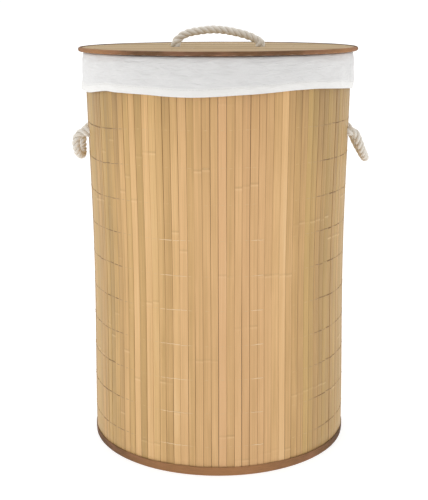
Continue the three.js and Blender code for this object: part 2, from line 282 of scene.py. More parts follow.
# ---------------------------------------------------------------- node materials
class Finish:
    """A procedural material with one Principled surface, put together by small calls."""

    def __init__(self, name, roughness, **surface):
        self.material = bpy.data.materials.new(name)
        self.material.use_nodes = True
        self.tree = self.material.node_tree
        self.surface = self.tree.nodes["Principled BSDF"]
        self.surface.inputs["Roughness"].default_value = roughness
        for socket, value in surface.items():
            self.surface.inputs[socket.replace("_", " ")].default_value = value

    def node(self, kind, inputs=None, **settings):
        made = self.tree.nodes.new(kind)
        for key, value in settings.items():
            setattr(made, key, value)
        for key, value in (inputs or {}).items():
            if isinstance(value, bpy.types.NodeSocket):
                self.tree.links.new(value, made.inputs[key])
            else:
                made.inputs[key].default_value = value
        return made

    def place(self, scale=(1, 1, 1), attribute=None):
        """The place that a pattern reads: object coordinates, or the piece's own attribute, scaled."""
        if attribute:
            source = self.node("ShaderNodeAttribute", attribute_name=attribute).outputs["Vector"]
        else:
            source = self.node("ShaderNodeTexCoord").outputs["Object"]
        return self.node("ShaderNodeMapping", {"Vector": source, "Scale": scale}).outputs["Vector"]

    def value(self, attribute):
        return self.node("ShaderNodeAttribute", attribute_name=attribute).outputs["Fac"]

    def noise(self, place, scale=1.0, detail=3.0, roughness=0.5, distortion=0.0):
        inputs = {"Vector": place, "Scale": scale, "Detail": detail, "Roughness": roughness,
                  "Distortion": distortion}
        return self.node("ShaderNodeTexNoise", inputs).outputs["Fac"]

    def wave(self, place, scale, direction="X", distortion=0.0):
        inputs = {"Vector": place, "Scale": scale, "Distortion": distortion, "Detail": 1.0}
        return self.node("ShaderNodeTexWave", inputs, bands_direction=direction).outputs["Fac"]

    def weave(self, place, scale, across="X"):
        """Two crossed sets of threads, 0.314 / scale metres apart: about 0.7 mm at a scale of 450."""
        return self.math("MAXIMUM", self.wave(place, scale, across, 0.4), self.wave(place, scale, "Z", 0.4))

    def math(self, operation, first, second=0.0, clamp=False):
        made = self.node("ShaderNodeMath", {0: first, 1: second}, operation=operation, use_clamp=clamp)
        return made.outputs[0]

    def spread(self, value, low, high, new_low=0.0, new_high=1.0):
        inputs = {0: value, 1: low, 2: high, 3: new_low, 4: new_high}
        return self.node("ShaderNodeMapRange", inputs).outputs[0]

    def ramp(self, value, stops):
        made = self.node("ShaderNodeValToRGB", {"Fac": value})
        elements = made.color_ramp.elements
        while len(elements) < len(stops):
            elements.new(0.5)
        for element, (position, colour) in zip(elements, stops):
            element.position = position
            element.color = (*colour, 1)
        return made.outputs["Color"]

    def mix(self, share, first, second, blend="MIX"):
        made = self.node("ShaderNodeMix", {0: share}, data_type="RGBA", blend_type=blend)
        for socket, colour in ((6, first), (7, second)):
            if isinstance(colour, bpy.types.NodeSocket):
                self.tree.links.new(colour, made.inputs[socket])
            else:
                made.inputs[socket].default_value = (*colour, 1)
        return made.outputs[2]

    def colour(self, socket):
        self.tree.links.new(socket, self.surface.inputs["Base Color"])

    def roughness(self, socket):
        self.tree.links.new(socket, self.surface.inputs["Roughness"])

    def bump(self, heights):
        """Bumps in turn, each (height, distance in metres, strength)."""
        normal = None
        for height, distance, strength in heights:
            inputs = {"Height": height, "Distance": distance, "Strength": strength}
            if normal:
                inputs["Normal"] = normal
            normal = self.node("ShaderNodeBump", inputs).outputs["Normal"]
        self.tree.links.new(normal, self.surface.inputs["Normal"])


def bamboo_finish(name="bamboo", shade_wash=(1.0, 1.0, 1.0), gloss=0.25, sheerness=(0.40, 0.60)):
    """Planed bamboo: each slat its own tone, long fibres and streaks, darker marks at the bamboo's joints,
    painted shade in the gaps between slats, a soft satin surface.

    wash multiplies the colour: on the lid it is painted shade that darkens and greys its top. gloss is the
    strength of the reflection, and sheerness its roughness at the fibres' low and high places.
    """
    paint = Finish(name, 0.5, Specular_IOR_Level=gloss)
    fibres = paint.noise(paint.place((1500, 300, 14), "grain"), detail=4, roughness=0.6)
    lines = paint.noise(paint.place((620, 140, 5), "grain"), detail=4, roughness=0.65)
    streaks = paint.noise(paint.place((230, 60, 3.5), "grain"), detail=3)
    clouds = paint.noise(paint.place((60, 31, 9), "grain"), detail=2)
    tone = paint.math("ADD", paint.value("tone"), paint.spread(streaks, 0.3, 0.7, -0.07, 0.07))
    tone = paint.math("ADD", tone, paint.spread(lines, 0.3, 0.7, -0.12, 0.10))
    tone = paint.math("ADD", tone, paint.spread(clouds, 0.3, 0.7, -0.07, 0.07))
    look = bpy.context.scene.hamper_wall
    colour = paint.ramp(tone, [
        (0.0, look.dark_slat),
        (0.3, look.ripe_slat),
        (0.6, look.common_slat),
        (1.0, look.pale_slat),
    ])
    warm, olive, fibre_brown = (0.74, 0.43, 0.23), (0.60, 0.415, 0.15), (0.50, 0.29, 0.11)
    joint_dark, joint_pale, gap_shade = (0.36, 0.22, 0.10), (0.90, 0.68, 0.40), (0.25, 0.12, 0.042)
    # Blush warms a slat and its low end turns it olive: on the wall it holds painted light in front and
    # painted shade at the sides besides chance; on the lid, chance only.
    blush_and_front_light = paint.spread(paint.value("blush_and_front_light"), 0.5, 1.0, 0.0, 0.5)
    colour = paint.mix(blush_and_front_light, colour, warm)
    olive_tint_and_side_shade = paint.spread(paint.value("blush_and_front_light"), 0.0, 0.35, 0.40, 0.0)
    colour = paint.mix(olive_tint_and_side_shade, colour, olive)
    colour = paint.mix(paint.spread(fibres, 0.52, 0.8, 0.0, 0.35), colour, fibre_brown)
    grainy = paint.spread(fibres, 0.25, 0.6, 0.5, 1.0)
    knuckle = paint.value("knuckle")
    dark = paint.math("MULTIPLY", paint.math("MAXIMUM", knuckle, 0.0), grainy)
    colour = paint.mix(paint.math("MULTIPLY", dark, 0.55), colour, joint_dark)
    pale = paint.math("MAXIMUM", paint.math("MULTIPLY", knuckle, -0.45), 0.0)
    colour = paint.mix(pale, colour, joint_pale)
    # Painted shade in the gaps between slats, and the painted shadow round the rope holes.
    colour = paint.mix(paint.math("MULTIPLY", paint.value("edge"), 0.8), colour, gap_shade)
    # Multiply by the wash: painted shade on the lid's top.
    paint.colour(paint.mix(1.0, colour, shade_wash, "MULTIPLY"))
    paint.roughness(paint.spread(fibres, 0.2, 0.8, *sheerness))
    paint.bump([(fibres, 0.00012, 0.5), (lines, 0.0002, 0.4)])
    return paint.material


def plain_wood_finish(name, colour_low, colour_high, scale=(30, 260, 260), attribute="grain"):
    """Bare wood: long streaks and pores that run along the piece."""
    paint = Finish(name, 0.62)
    streaks = paint.noise(paint.place(scale, attribute), detail=5, roughness=0.62)
    pores = paint.noise(paint.place(tuple(4 * side for side in scale), attribute), detail=2)
    colour = paint.ramp(streaks, [(0.25, colour_low), (0.75, colour_high)])
    colour = paint.mix(paint.spread(pores, 0.58, 0.75, 0, 0.35), colour, tuple(0.55 * c for c in colour_low))
    paint.colour(colour)
    paint.bump([(pores, 0.0002, 0.4)])
    return paint.material


def board_finish():
    """Hard fibreboard: a fine brown speckle of pressed fibres."""
    paint = Finish("fibreboard", 0.7)
    speckle = paint.noise(paint.place((900, 900, 900)), detail=4, roughness=0.7)
    clouds = paint.noise(paint.place((25, 25, 25)), detail=2)
    colour = paint.ramp(speckle, [(0.3, (0.20, 0.115, 0.055)), (0.7, (0.36, 0.23, 0.12))])
    paint.colour(paint.mix(paint.spread(clouds, 0.3, 0.7, 0, 0.3), colour, (0.26, 0.16, 0.08)))
    paint.bump([(speckle, 0.0002, 0.4)])
    return paint.material


def liner_finish():
    """White cotton: a fine plain weave, cooler where it is one layer, warmer and paler at the doubled hem."""
    look = bpy.context.scene.hamper_cloth
    paint = Finish("liner_cotton", 0.92, Sheen_Weight=0.15, Sheen_Roughness=0.5)
    place = paint.place((1, 1, 1), "grain")
    weave = paint.weave(place, 450)
    slubs = paint.noise(paint.place((60, 60, 420), "grain"), detail=3)
    clouds = paint.noise(paint.place((26, 26, 60), "grain"), detail=3)
    fuzz = paint.noise(paint.place((1800, 1800, 1800), "grain"), detail=2)
    rumple = paint.noise(paint.place((42, 42, 130), "grain"), detail=3, roughness=0.55, distortion=0.6)
    shade = paint.math("ADD", paint.math("MULTIPLY", weave, 0.25), paint.math("MULTIPLY", slubs, 0.40))
    shade = paint.math("ADD", shade, paint.math("MULTIPLY", clouds, 0.35))
    colour = paint.ramp(shade, [(0.3, look.cloth_low), (0.7, look.cloth_high)])
    paint.colour(paint.mix(paint.value("doubled"), colour, look.cloth_hem))
    paint.bump([(rumple, 0.0045, 0.5), (weave, 0.00014, 0.4), (fuzz, 0.0001, 0.3)])
    return paint.material


def canvas_finish(name, attribute=None, across="X"):
    """Straw-coloured canvas: a plain weave with slubs and a soft uneven dye."""
    paint = Finish(name, 0.9, Sheen_Weight=0.25, Sheen_Roughness=0.5)
    place = paint.place((1, 1, 1), attribute)
    weave = paint.weave(place, 454.55, across)
    slubs = paint.noise(paint.place((90, 90, 700), attribute), detail=3)
    clouds = paint.noise(paint.place((14, 14, 14), attribute), detail=3)
    fuzz = paint.noise(paint.place((2200, 2200, 2200), attribute), detail=2)
    shade = paint.math("ADD", paint.math("MULTIPLY", weave, 0.35), paint.math("MULTIPLY", slubs, 0.35))
    shade = paint.math("ADD", shade, paint.math("MULTIPLY", clouds, 0.3))
    paint.colour(paint.ramp(shade, [(0.3, (0.50, 0.44, 0.34)), (0.7, (0.68, 0.61, 0.50))]))
    paint.bump([(weave, 0.00018, 0.5), (fuzz, 0.0001, 0.3)])
    return paint.material


def tape_finish(name):
    """Brown tape: a fine plain weave whose colour follows a value set per piece, painted shade by the turn
    from the front on the foot and lid tapes, with rubbed patches.
    """
    cloth = bpy.context.scene.hamper_cloth
    paint = Finish(name, 0.8, Specular_IOR_Level=0.2)
    place = paint.place((1, 1, 1), "grain")
    weave = paint.weave(place, 620)
    slubs = paint.noise(paint.place((60, 60, 500), "grain"), detail=3)
    patches = paint.noise(paint.place((22, 22, 40), "grain"), detail=3)
    shade = paint.math("ADD", paint.math("MULTIPLY", weave, 0.25), paint.math("MULTIPLY", slubs, 0.35))
    # Painted shade: the per-piece value darkens the foot tape at its sides and the lid's tape in front.
    shade = paint.math("ADD", shade, paint.math("MULTIPLY", paint.value("dye_and_shade"), 0.55))
    colour = paint.ramp(shade, [(0.18, cloth.tape_low), (0.85, cloth.tape_high)])
    colour = paint.mix(paint.spread(patches, 0.5, 0.72, 0, 0.4), colour, cloth.tape_rubbed)
    paint.colour(colour)
    paint.bump([(weave, 0.00018, 0.5), (slubs, 0.0003, 0.3)])
    return paint.material


def rope_finish():
    """Unbleached cotton: pale yarns, with painted shade that turns them greyer and browner in the folds
    between strands and a painted highlight on the crests, and fine fibres.
    """
    paint = Finish("cotton_rope", 0.92, Sheen_Weight=0.3, Sheen_Roughness=0.6)
    fibres = paint.noise(paint.place((2600, 420, 1), "yarn"), detail=3, roughness=0.6)
    clouds = paint.noise(paint.place((160, 160, 160)), detail=3)
    fold_shade = paint.value("fold_shade")
    look = bpy.context.scene.hamper_rope
    # Painted shade in the folds and a painted highlight on the crests, from the fold value.
    colour = paint.ramp(fold_shade, [(0.0, look.fold_shade_and_fibre_colour), (0.5, look.yarn_colour), (1.0, look.crest_highlight_colour)])
    colour = paint.mix(paint.spread(clouds, 0.35, 0.75, 0, 0.35), colour, look.yarn_colour)
    colour = paint.mix(paint.spread(fibres, 0.55, 0.8, 0, 0.35), colour, look.fold_shade_and_fibre_colour)
    paint.colour(colour)
    paint.bump([(fibres, 0.0003, 0.6)])
    return paint.material


def thread_finish():
    """The thread that holds the slats: straw-coloured in front, with painted shade that darkens it towards
    the sides and a painted highlight on two stretches in front.
    """
    paint = Finish("slat_thread", 0.8)
    twist = paint.noise(paint.place((900, 900, 300)), detail=2)
    look = bpy.context.scene.hamper_wall
    # Painted highlight where the value is below nothing, painted shade where it is above.
    clean = paint.math("MULTIPLY", paint.value("thread_shade_and_highlight"), -1.0, clamp=True)
    colour = paint.mix(clean, look.thread_colour, look.highlit_thread)
    shade_share = paint.math("MAXIMUM", paint.value("thread_shade_and_highlight"), 0.0)
    colour = paint.mix(shade_share, colour, look.shade_and_twist_thread)
    paint.colour(paint.mix(paint.math("MULTIPLY", twist, 0.2), colour, look.shade_and_twist_thread))
    paint.bump([(twist, 0.0002, 0.5)])
    return paint.material


def steel_finish():
    """Dull zinc-plated steel."""
    paint = Finish("tack_steel", 0.4, Metallic=1.0)
    scuffs = paint.noise(paint.place((700, 700, 700)), detail=3)
    paint.colour(paint.mix(scuffs, (0.38, 0.38, 0.37), (0.62, 0.62, 0.60)))
    paint.roughness(paint.spread(scuffs, 0.2, 0.8, 0.3, 0.5))
    return paint.material


# ---------------------------------------------------------------- sizes and colours a user would change
def colour_property(name, description, default):
    return bpy.props.FloatVectorProperty(
        name=name, description=description, subtype="COLOR", size=3, min=0, max=1, default=default
    )


def length_property(name, description, default):
    return bpy.props.FloatProperty(
        name=name, description=description, unit="LENGTH", precision=5, default=default
    )


class HamperWallSettings(bpy.types.PropertyGroup):
    """Sizes and tones of the slat wall, the lid's slats and their thread."""

    slats: bpy.props.IntProperty(name="Slats", description="Slats round the wall", default=112, min=12)
    waist: length_property("Waist", "How far the wall draws in half way up", 4 * MM)
    slat_thickness: length_property("Slat thickness", "Thickness of one slat", 2 * MM)
    joint_gap: length_property("Joint gap", "Usual gap between two slats", 0.22 * MM)
    thread_rows: bpy.props.IntProperty(
        name="Thread rows", description="Rows of thread up the wall", default=11
    )
    first_row: length_property("First row", "Height of the lowest row of thread", 45 * MM)
    dark_slat_angle: bpy.props.FloatProperty(
        name="Sunken slat", description="Degrees from the front to the one dark, sunken slat", default=56.5
    )
    row_spacing: length_property("Row spacing", "Height from one row of thread to the next", 51 * MM)
    thread_radius: length_property("Thread radius", "Radius of the slats' thread", 0.55 * MM)
    dark_slat: colour_property("Dark slat", "Tone of the darkest slats", (0.36, 0.225, 0.095))
    ripe_slat: colour_property("Ripe slat", "Tone of the darker common slats", (0.585, 0.36, 0.15))
    common_slat: colour_property("Common slat", "Tone of most slats", (0.775, 0.49, 0.228))
    pale_slat: colour_property("Pale slat", "Tone of the palest slats", (0.89, 0.64, 0.36))
    thread_colour: colour_property("Thread", "Tone of clean thread", (0.74, 0.52, 0.28))
    # The next two colours are a painted highlight on the thread's clear stretches and painted shade on the
    # thread towards the sides; the darker one also darkens the twist.
    highlit_thread: colour_property("Clean thread", "Tone of thread that stands clear", (0.95, 0.74, 0.46))
    shade_and_twist_thread: colour_property("Soiled thread", "Tone of thread that is handled", (0.21, 0.12, 0.05))


class HamperRopeSettings(bpy.types.PropertyGroup):
    """Sizes and tones of the three rope handles."""

    radius: length_property("Rope radius", "Outer radius of the rope", 5.5 * MM)
    lay: length_property("Lay", "Length of rope in which a strand goes once round", 29 * MM)
    # Folds and Crests are painted shade and a painted highlight; the folds' colour also darkens chance
    # fibres.
    fold_shade_and_fibre_colour: colour_property("Folds", "Tone between the strands", (0.38, 0.32, 0.24))
    yarn_colour: colour_property("Yarn", "Tone of the yarns", (0.68, 0.62, 0.53))
    crest_highlight_colour: colour_property("Crests", "Tone of the strands' crests", (0.84, 0.80, 0.73))


class HamperClothSettings(bpy.types.PropertyGroup):
    """Sizes and tones of the liner and the tape."""

    cloth_thickness: length_property("Cloth thickness", "Thickness of the liner's cloth", 0.9 * MM)
    hem_height: length_property("Hem", "Height of the cuff's doubled hem", 11 * MM)
    cloth_low: colour_property("Cloth, low", "Darker threads of the liner", (0.68, 0.675, 0.67))
    cloth_high: colour_property("Cloth, high", "Paler threads of the liner", (0.79, 0.785, 0.78))
    cloth_hem: colour_property("Cloth, hem", "The doubled cloth of the hem", (0.86, 0.85, 0.83))
    tape_height: length_property("Foot tape", "Height of the tape round the foot, in front", 13.4 * MM)
    # Tape, low is the colour that the painted shade at the foot tape's sides and the lid tape's front
    # reaches.
    tape_low: colour_property("Tape, low", "Darkest dye of the tape", (0.085, 0.045, 0.024))
    tape_high: colour_property("Tape, high", "Palest dye of the tape", (0.425, 0.21, 0.09))
    tape_rubbed: colour_property("Tape, rubbed", "Rubbed patches of the tape", (0.40, 0.19, 0.12))


# ---------------------------------------------------------------- slats
SLAT_SECTION = np.array([
    # share of the half width, share of the thickness inwards from the face
    (-1.0, 1.0),
    (-1.0, 0.25),
    (-0.985, 0.07),
    (-0.93, 0.0),
    (-0.45, -0.025),
    (0.0, -0.035),
    (0.45, -0.025),
    (0.93, 0.0),
    (0.985, 0.07),
    (1.0, 0.25),
    (1.0, 1.0),
])
NEAR_JOINT = np.array([-5, -2.4, -1.2, 0, 1.2, 2.4, 5]) * MM


def slat_heights(rng, count, low, high, plain, knuckles, fine_at=None):
    """Heights of the rings of corners up each slat, and the places of its bamboo joints.

    plain evenly spaced heights, and seven close ones round each of a few joints. Neighbours are often split
    from one cane, so runs of one to six slats have their joints at nearly the same heights. A slat that a
    rope passes through has close heights round the hole instead.
    """
    span = high - low
    cane = np.cumsum(rng.random(count) < 0.38)
    first = rng.uniform(0.02, 0.4, (count, 1))[cane % count]
    step = rng.uniform(0.32, 0.46, (count, 1))[cane % count]
    joints = low + span * np.clip(first + step * np.arange(knuckles)[None], 0.01, 0.985)
    joints = joints + rng.normal(0, 1.3 * MM, joints.shape)
    even = np.broadcast_to(np.linspace(low, high, plain)[None], (count, plain))
    close = (joints[:, :, None] + NEAR_JOINT).reshape(count, -1)
    if fine_at is not None:
        picked, centre = fine_at
        close[picked] = centre + np.linspace(-8, 8, close.shape[1])[None] * MM
        joints[picked] = low
    heights = np.sort(np.concatenate([even, np.clip(close, low, high)], 1), 1)
    heights = low + (heights - heights[:, :1]) * span / (heights[:, -1:] - heights[:, :1])
    return heights, joints


def slat_details(rng, heights, joints):
    """How far each ring stands proud at a joint, and its mark: above nothing is dark, below nothing is pale.

    A joint is a narrow pale bell with a dark one just above it, each as strong as chance has it.
    """
    away = heights[:, :, None] - joints[:, None, :]
    strength = rng.uniform(0.1, 1.0, joints.shape)[:, None] ** 1.6
    pale = np.exp(-((away / (1.3 * MM)) ** 2))
    dark = np.exp(-(((away - 2.5 * MM) / (1.5 * MM)) ** 2))
    return (0.16 * pale - 0.08 * dark).sum(-1) * MM, ((0.75 * dark - 0.8 * pale) * strength).sum(-1)


def slat_tone(rng, turned):
    """Tone of each slat by its turn from the front in degrees.

    A steady tone in front that falls off to darker slats past each side, as painted shade, with a small
    chance part of its own and a few strays.
    """
    count = len(turned)
    # Painted shade: slats darken past 18 degrees right of the front and past 30 degrees left of it.
    right = np.clip((turned - 18) / 38, 0, 1)
    left = np.clip((-turned - 30) / 28, 0, 1)
    steady = 0.52 - 0.42 * right**2 * (3 - 2 * right) - 0.34 * left**2 * (3 - 2 * left)
    tone = steady + 0.052 * rng.normal(0, 1, count)
    strays = rng.choice(count, 8, replace=False)
    tone[strays] += rng.choice([-0.15, -0.1, 0.14], len(strays))
    return np.clip(tone, 0.02, 0.98)


def wall_slats():
    """All the slats of the wall in one mesh.

    Slat i fills the angle between two joints, which lie near i and i + 1 of count shares of a turn from the
    front, each shifted a little by chance. Its corners are
    outwards * (wall radius + lift + tilt - depth) + sideways * share of the half width + height,
    with the wall's waist in the radius and a small lift, tilt, sway and width of its own.
    """
    look = bpy.context.scene.hamper_wall
    rng = np.random.default_rng(11)
    count = look.slats
    pitch = TURN * WALL_RADIUS / count
    edges = TURN / count * np.arange(count) + rng.uniform(-0.05, 0.05, count) * pitch / WALL_RADIUS
    next_edges = np.roll(edges, -1) + np.where(np.arange(count) == count - 1, TURN, 0)
    angle = FRONT + (edges + next_edges) / 2
    turned = np.degrees(angle_gap(angle, FRONT))
    sunk_slat = np.argmin(np.abs(turned - look.dark_slat_angle))
    gap = look.joint_gap * rng.choice([0.2, 0.5, 1.0, 1.0, 1.7, 2.6], count)
    half = (next_edges - edges) * WALL_RADIUS / 2 - gap / 2
    lift = rng.uniform(-0.22, 0.0, count) * MM
    tilt = rng.normal(0, 0.10, count) * MM
    sway = rng.uniform(-0.2, 0.2, count) * MM
    hole_height = JOINT_PLACE["right_handle_raise"][2]
    knot_low, knot_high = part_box("right_handle_knot_back")
    foot = abs(knot_low.y + knot_high.y) / 2
    hole_angles = [s * math.asin(foot / WALL_RADIUS) + turn for s in (-1, 1) for turn in (0, math.pi)]
    reach = (pitch / 2 + 6 * MM) / WALL_RADIUS
    pierced = np.any([np.abs(angle_gap(angle, hole)) < reach for hole in hole_angles], axis=0)
    heights, joints = slat_heights(
        rng, count, WALL_LOW.z, WALL_TOP, 22, 3, (np.flatnonzero(pierced), hole_height)
    )
    bulge, mark = slat_details(rng, heights, joints)
    share, depth = SLAT_SECTION[:, 0], SLAT_SECTION[:, 1] * look.slat_thickness
    across = share[None, None, :] * half[:, None, None]
    sideways = across + (sway[:, None] * np.sin(np.pi * heights / WALL_TOP * 2))[:, :, None]
    face = np.where(SLAT_SECTION[:, 1] < 0.5, 1.0, 0.0)[None, None]
    lift[sunk_slat] -= 0.35 * MM
    outwards = (
        wall_radius(heights)[:, :, None]
        + (lift[:, None, None] + tilt[:, None, None] * share[None, None]) * face
        - depth[None, None]
        + bulge[:, :, None] * face
    )
    out = np.stack([np.cos(angle), np.sin(angle), 0 * angle], -1)[:, None, None]
    along = np.stack([-np.sin(angle), np.cos(angle), 0 * angle], -1)[:, None, None]
    points = outwards[..., None] * out + sideways[..., None] * along
    points[..., 2] += heights[:, :, None]
    in_hole = np.zeros(points.shape[:3], bool)
    for side in (-1, 1):
        for end in (-1, 1):
            away = np.hypot(points[..., 1] - end * foot, points[..., 2] - hole_height)
            in_hole |= (away < 5.9 * MM) & (points[..., 0] * side > 0)
    dent = np.where(in_hole & (face > 0), 1.5 * MM, 0)
    points[..., 0] -= dent * np.sign(points[..., 0])
    ones = np.ones(points.shape[:3])
    tone = slat_tone(rng, turned)
    tone[sunk_slat] = 0.12
    # Painted shade below the cuff: the slats darken over the top third of the wall.
    painted_shade_below_cuff = 0.17 * np.clip((heights / WALL_TOP - 0.66) / 0.26, 0, 1) ** 2
    # Painted light and shade: a bell of warmer slats in front and, where the value is low towards the sides,
    # olive ones, over each slat's chance warmth.
    warmth_and_front_light = 0.12 + 0.62 * np.exp(-(((turned - 5) / 32) ** 2)) + 0.15 * rng.normal(0, 1, count)
    seed = rng.uniform(0, 40, count)
    # Painted shade in the gaps: a dark band along each long edge of a slat, weaker at joints more than 28
    # degrees left of the front, and chance.
    joint_turn = np.degrees(angle_gap(FRONT + np.append(edges, edges[0]), FRONT))
    clear = 0.45 + 0.4 * np.clip((joint_turn + 28) / 24, 0, 1)
    joint_gap_shade = clear + rng.uniform(-0.4, 0.2, count + 1)
    joint_gap_shade = np.clip(joint_gap_shade, 0.05, 1.0)
    side_gap_shade = np.where(share[None] < 0, joint_gap_shade[:-1, None], joint_gap_shade[1:, None])
    gap_shade = side_gap_shade[:, None] * (np.abs(share)[None, None] > 0.97)
    shifted = (heights + seed[:, None])[:, :, None]
    grain = np.stack([across * ones, seed[:, None, None] * ones, shifted * ones], -1)
    attributes = {
        "grain": grain.reshape(-1, 3),
        "tone": ((tone[:, None] - painted_shade_below_cuff)[:, :, None] * ones).ravel(),
        "blush_and_front_light": (np.clip(warmth_and_front_light, 0, 1)[:, None, None] * ones).ravel(),
        "knuckle": (mark[:, :, None] * ones).ravel(),
        # The edge value is painted shade: the gaps between slats and the shadow round each rope hole.
        "edge": (gap_shade * ones + in_hole).ravel(),
    }
    rows, columns = heights.shape[1], len(share)
    corners = rows * columns
    faces = [
        repeated(grid_faces(rows, columns), count, corners),
        repeated(end_caps(rows, columns), count, corners),
    ]
    return write_mesh("bamboo_wall_slats", points, faces, attributes)


def thread_rows():
    """Rows of thread that lie over each slat and dip into each joint.

    The centreline of a row is (r cos a, r sin a, z): r is the wall radius plus a lift that falls to a dip
    at every joint, as the sixth power of a cosine, and z wanders a little from slat to slat. Towards the two
    sides the thread is looser, so it stands further off the slats, and it carries painted shade. In two
    stretches of the lower rows in front it stands clear, with a painted highlight.
    """
    look = bpy.context.scene.hamper_wall
    rng = np.random.default_rng(23)
    samples, sides = 5, 5
    steps = look.slats * samples
    turn = np.arange(steps) / samples
    angle = FRONT + TURN * turn / look.slats
    heights = look.first_row + look.row_spacing * np.arange(look.thread_rows)
    aside = np.abs(np.sin(angle_gap(angle, FRONT)))
    # Painted shade on the thread towards the sides, patchy from slat to slat.
    thread_shade_and_highlight = np.clip((aside - 0.60) / 0.16, 0, 1)[None] * np.ones((look.thread_rows, 1))
    patchy = np.repeat(rng.uniform(0.55, 1.0, (look.thread_rows, look.slats)), samples, 1)
    thread_shade_and_highlight = thread_shade_and_highlight * patchy
    dip = np.abs(np.cos(np.pi * turn)) ** 6
    low_rows = (heights < 0.6 * WALL_TOP)[:, None]
    stretches = ((-19.0, 6.5), (16.3, 2.8))
    proud = sum(
        np.exp(-((angle_gap(angle, FRONT + math.radians(place)) / math.radians(width)) ** 4))[None]
        for place, width in stretches
    ) * low_rows
    lift = -0.24 + 0.40 * thread_shade_and_highlight + 0.52 * proud * patchy
    radius = wall_radius(heights)[:, None] + (lift - (0.55 * dip)[None]) * MM
    wander = rng.normal(0, 0.26, (look.thread_rows, look.slats)) * MM
    slow = np.stack([
        sum(np.sin(n * angle + rng.uniform(0, TURN)) for n in (2, 3, 7)) for _ in range(look.thread_rows)
    ]) * 0.35 * MM
    height = heights[:, None] + np.repeat(wander, samples, 1) + slow
    left_sag = np.exp(-((angle_gap(angle, FRONT - math.radians(62)) / 0.4) ** 2))
    height = height - np.clip((heights / WALL_TOP - 0.5) / 0.3, 0, 1)[:, None] * left_sag * 5 * MM
    height = (np.roll(height, 1, 1) + 2 * height + np.roll(height, -1, 1)) / 4
    around = TURN * np.arange(sides) / sides
    swell = look.thread_radius * np.stack([0.8 * np.cos(around), -1.1 * np.sin(around)], -1)
    thick = (0.6 + 0.45 * thread_shade_and_highlight + 0.4 * proud * patchy)[..., None]
    ring_radius = radius[..., None] + thick * swell[:, 0]
    points = np.stack([
        ring_radius * np.cos(angle)[None, :, None],
        ring_radius * np.sin(angle)[None, :, None],
        height[..., None] + thick * swell[:, 1],
    ], -1)
    faces = repeated(grid_faces(steps, sides, close_rows=True), look.thread_rows, steps * sides)
    # Painted highlight on the two clear stretches: the value goes below nothing there.
    thread_shade_and_highlight = np.where(proud > 0.3, -proud * patchy, thread_shade_and_highlight)
    return write_mesh("slat_thread_rows", points, [faces], {"thread_shade_and_highlight": np.repeat(thread_shade_and_highlight.ravel(), sides)})


def lid_slats():
    """The lid's slats: straight strips along X, side by side along Y, with their ends cut to the round lid.

    Corner = (share * sqrt(radius^2 - y^2), y, top of the lid - depth), so that both ends lie on the circle.
    """
    look = bpy.context.scene.hamper_wall
    rng = np.random.default_rng(31)
    radius = LID_SLATS_HIGH.x
    pitch = TURN * WALL_RADIUS / look.slats
    count = int(2 * radius / pitch) + 1
    centre = (np.arange(count) - (count - 1) / 2) * pitch + rng.uniform(-0.05, 0.05, count) * pitch
    gap = look.joint_gap * rng.choice([0.6, 1.0, 1.0, 1.6], count)
    half = pitch / 2 - gap / 2
    places, joints = slat_heights(rng, count, -radius, radius, 26, 2)
    bulge, mark = slat_details(rng, places, joints)
    share, depth = SLAT_SECTION[:, 0], SLAT_SECTION[:, 1] * (LID_SLATS_HIGH.z - LID_SLATS_LOW.z)
    ones = np.ones((count, places.shape[1], len(share)))
    lift = rng.uniform(-0.15, 0.0, count) * MM
    face = np.where(SLAT_SECTION[:, 1] < 0.5, 1.0, 0.0)[None, None]
    across = share[None, None] * half[:, None, None]
    y = np.clip(centre[:, None, None] + across, 0.5 * MM - radius, radius - 0.5 * MM) * ones
    x = places[:, :, None] * np.sqrt(1 - (y / radius) ** 2)
    z = LID_SLATS_HIGH.z - depth[None, None] + (lift[:, None, None] + bulge[:, :, None]) * face
    seed = rng.uniform(50, 90, count)[:, None, None] * ones
    tone = np.clip(0.40 + rng.normal(0, 0.17, count), 0.05, 0.95)
    attributes = {
        "grain": np.stack([across * ones, seed, x + seed], -1).reshape(-1, 3),
        "tone": (tone[:, None, None] * ones).ravel(),
        "blush_and_front_light": (rng.uniform(0, 1, count)[:, None, None] * ones).ravel(),
        "knuckle": (mark[:, :, None] * ones).ravel(),
        # The edge value is painted shade in the gaps between the lid's slats.
        "edge": ((np.abs(share)[None, None] > 0.97) * ones).ravel(),
    }
    rows, columns = places.shape[1], len(share)
    faces = [
        repeated(grid_faces(rows, columns), count, rows * columns)[:, ::-1],
        repeated(end_caps(rows, columns), count, rows * columns)[:, ::-1],
    ]
    return write_mesh("lid_bamboo_slats", np.stack([x, y, z], -1), faces, attributes)


# ---------------------------------------------------------------- rope
# Each route is in shares of the half span between the feet, and millimetres from the hinge. The side loops
# lie within about 2 mm of the design's, which are a little nearer to alike.
RIGHT_LOOP = [
    (0, -1, 0), (6, -0.98, 5), (10, -0.92, 13.5), (14.5, -0.79, 24), (20, -0.55, 35), (24.6, -0.25, 43.4),
    (26, 0, 45.5),
]
LEFT_LOOP = [
    (0, -1, 0), (7.6, -1, 3), (12.2, -0.99, 10), (13.4, -0.92, 19), (12.8, -0.76, 28.5), (11.4, -0.48, 35.8),
    (10.4, -0.2, 39.2), (10, 0, 39.8),
]
LID_ARCH = [
    (-1, 0), (-0.955, 4.6), (-0.87, 9.6), (-0.73, 13.7), (-0.45, 17.3), (-0.14, 19.3), (0.16, 18.1),
    (0.46, 14.5), (0.72, 10), (0.89, 5.1), (1, 0),
]


def middle_of(node):
    low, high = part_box(node)
    return np.array((low + high) / 2)


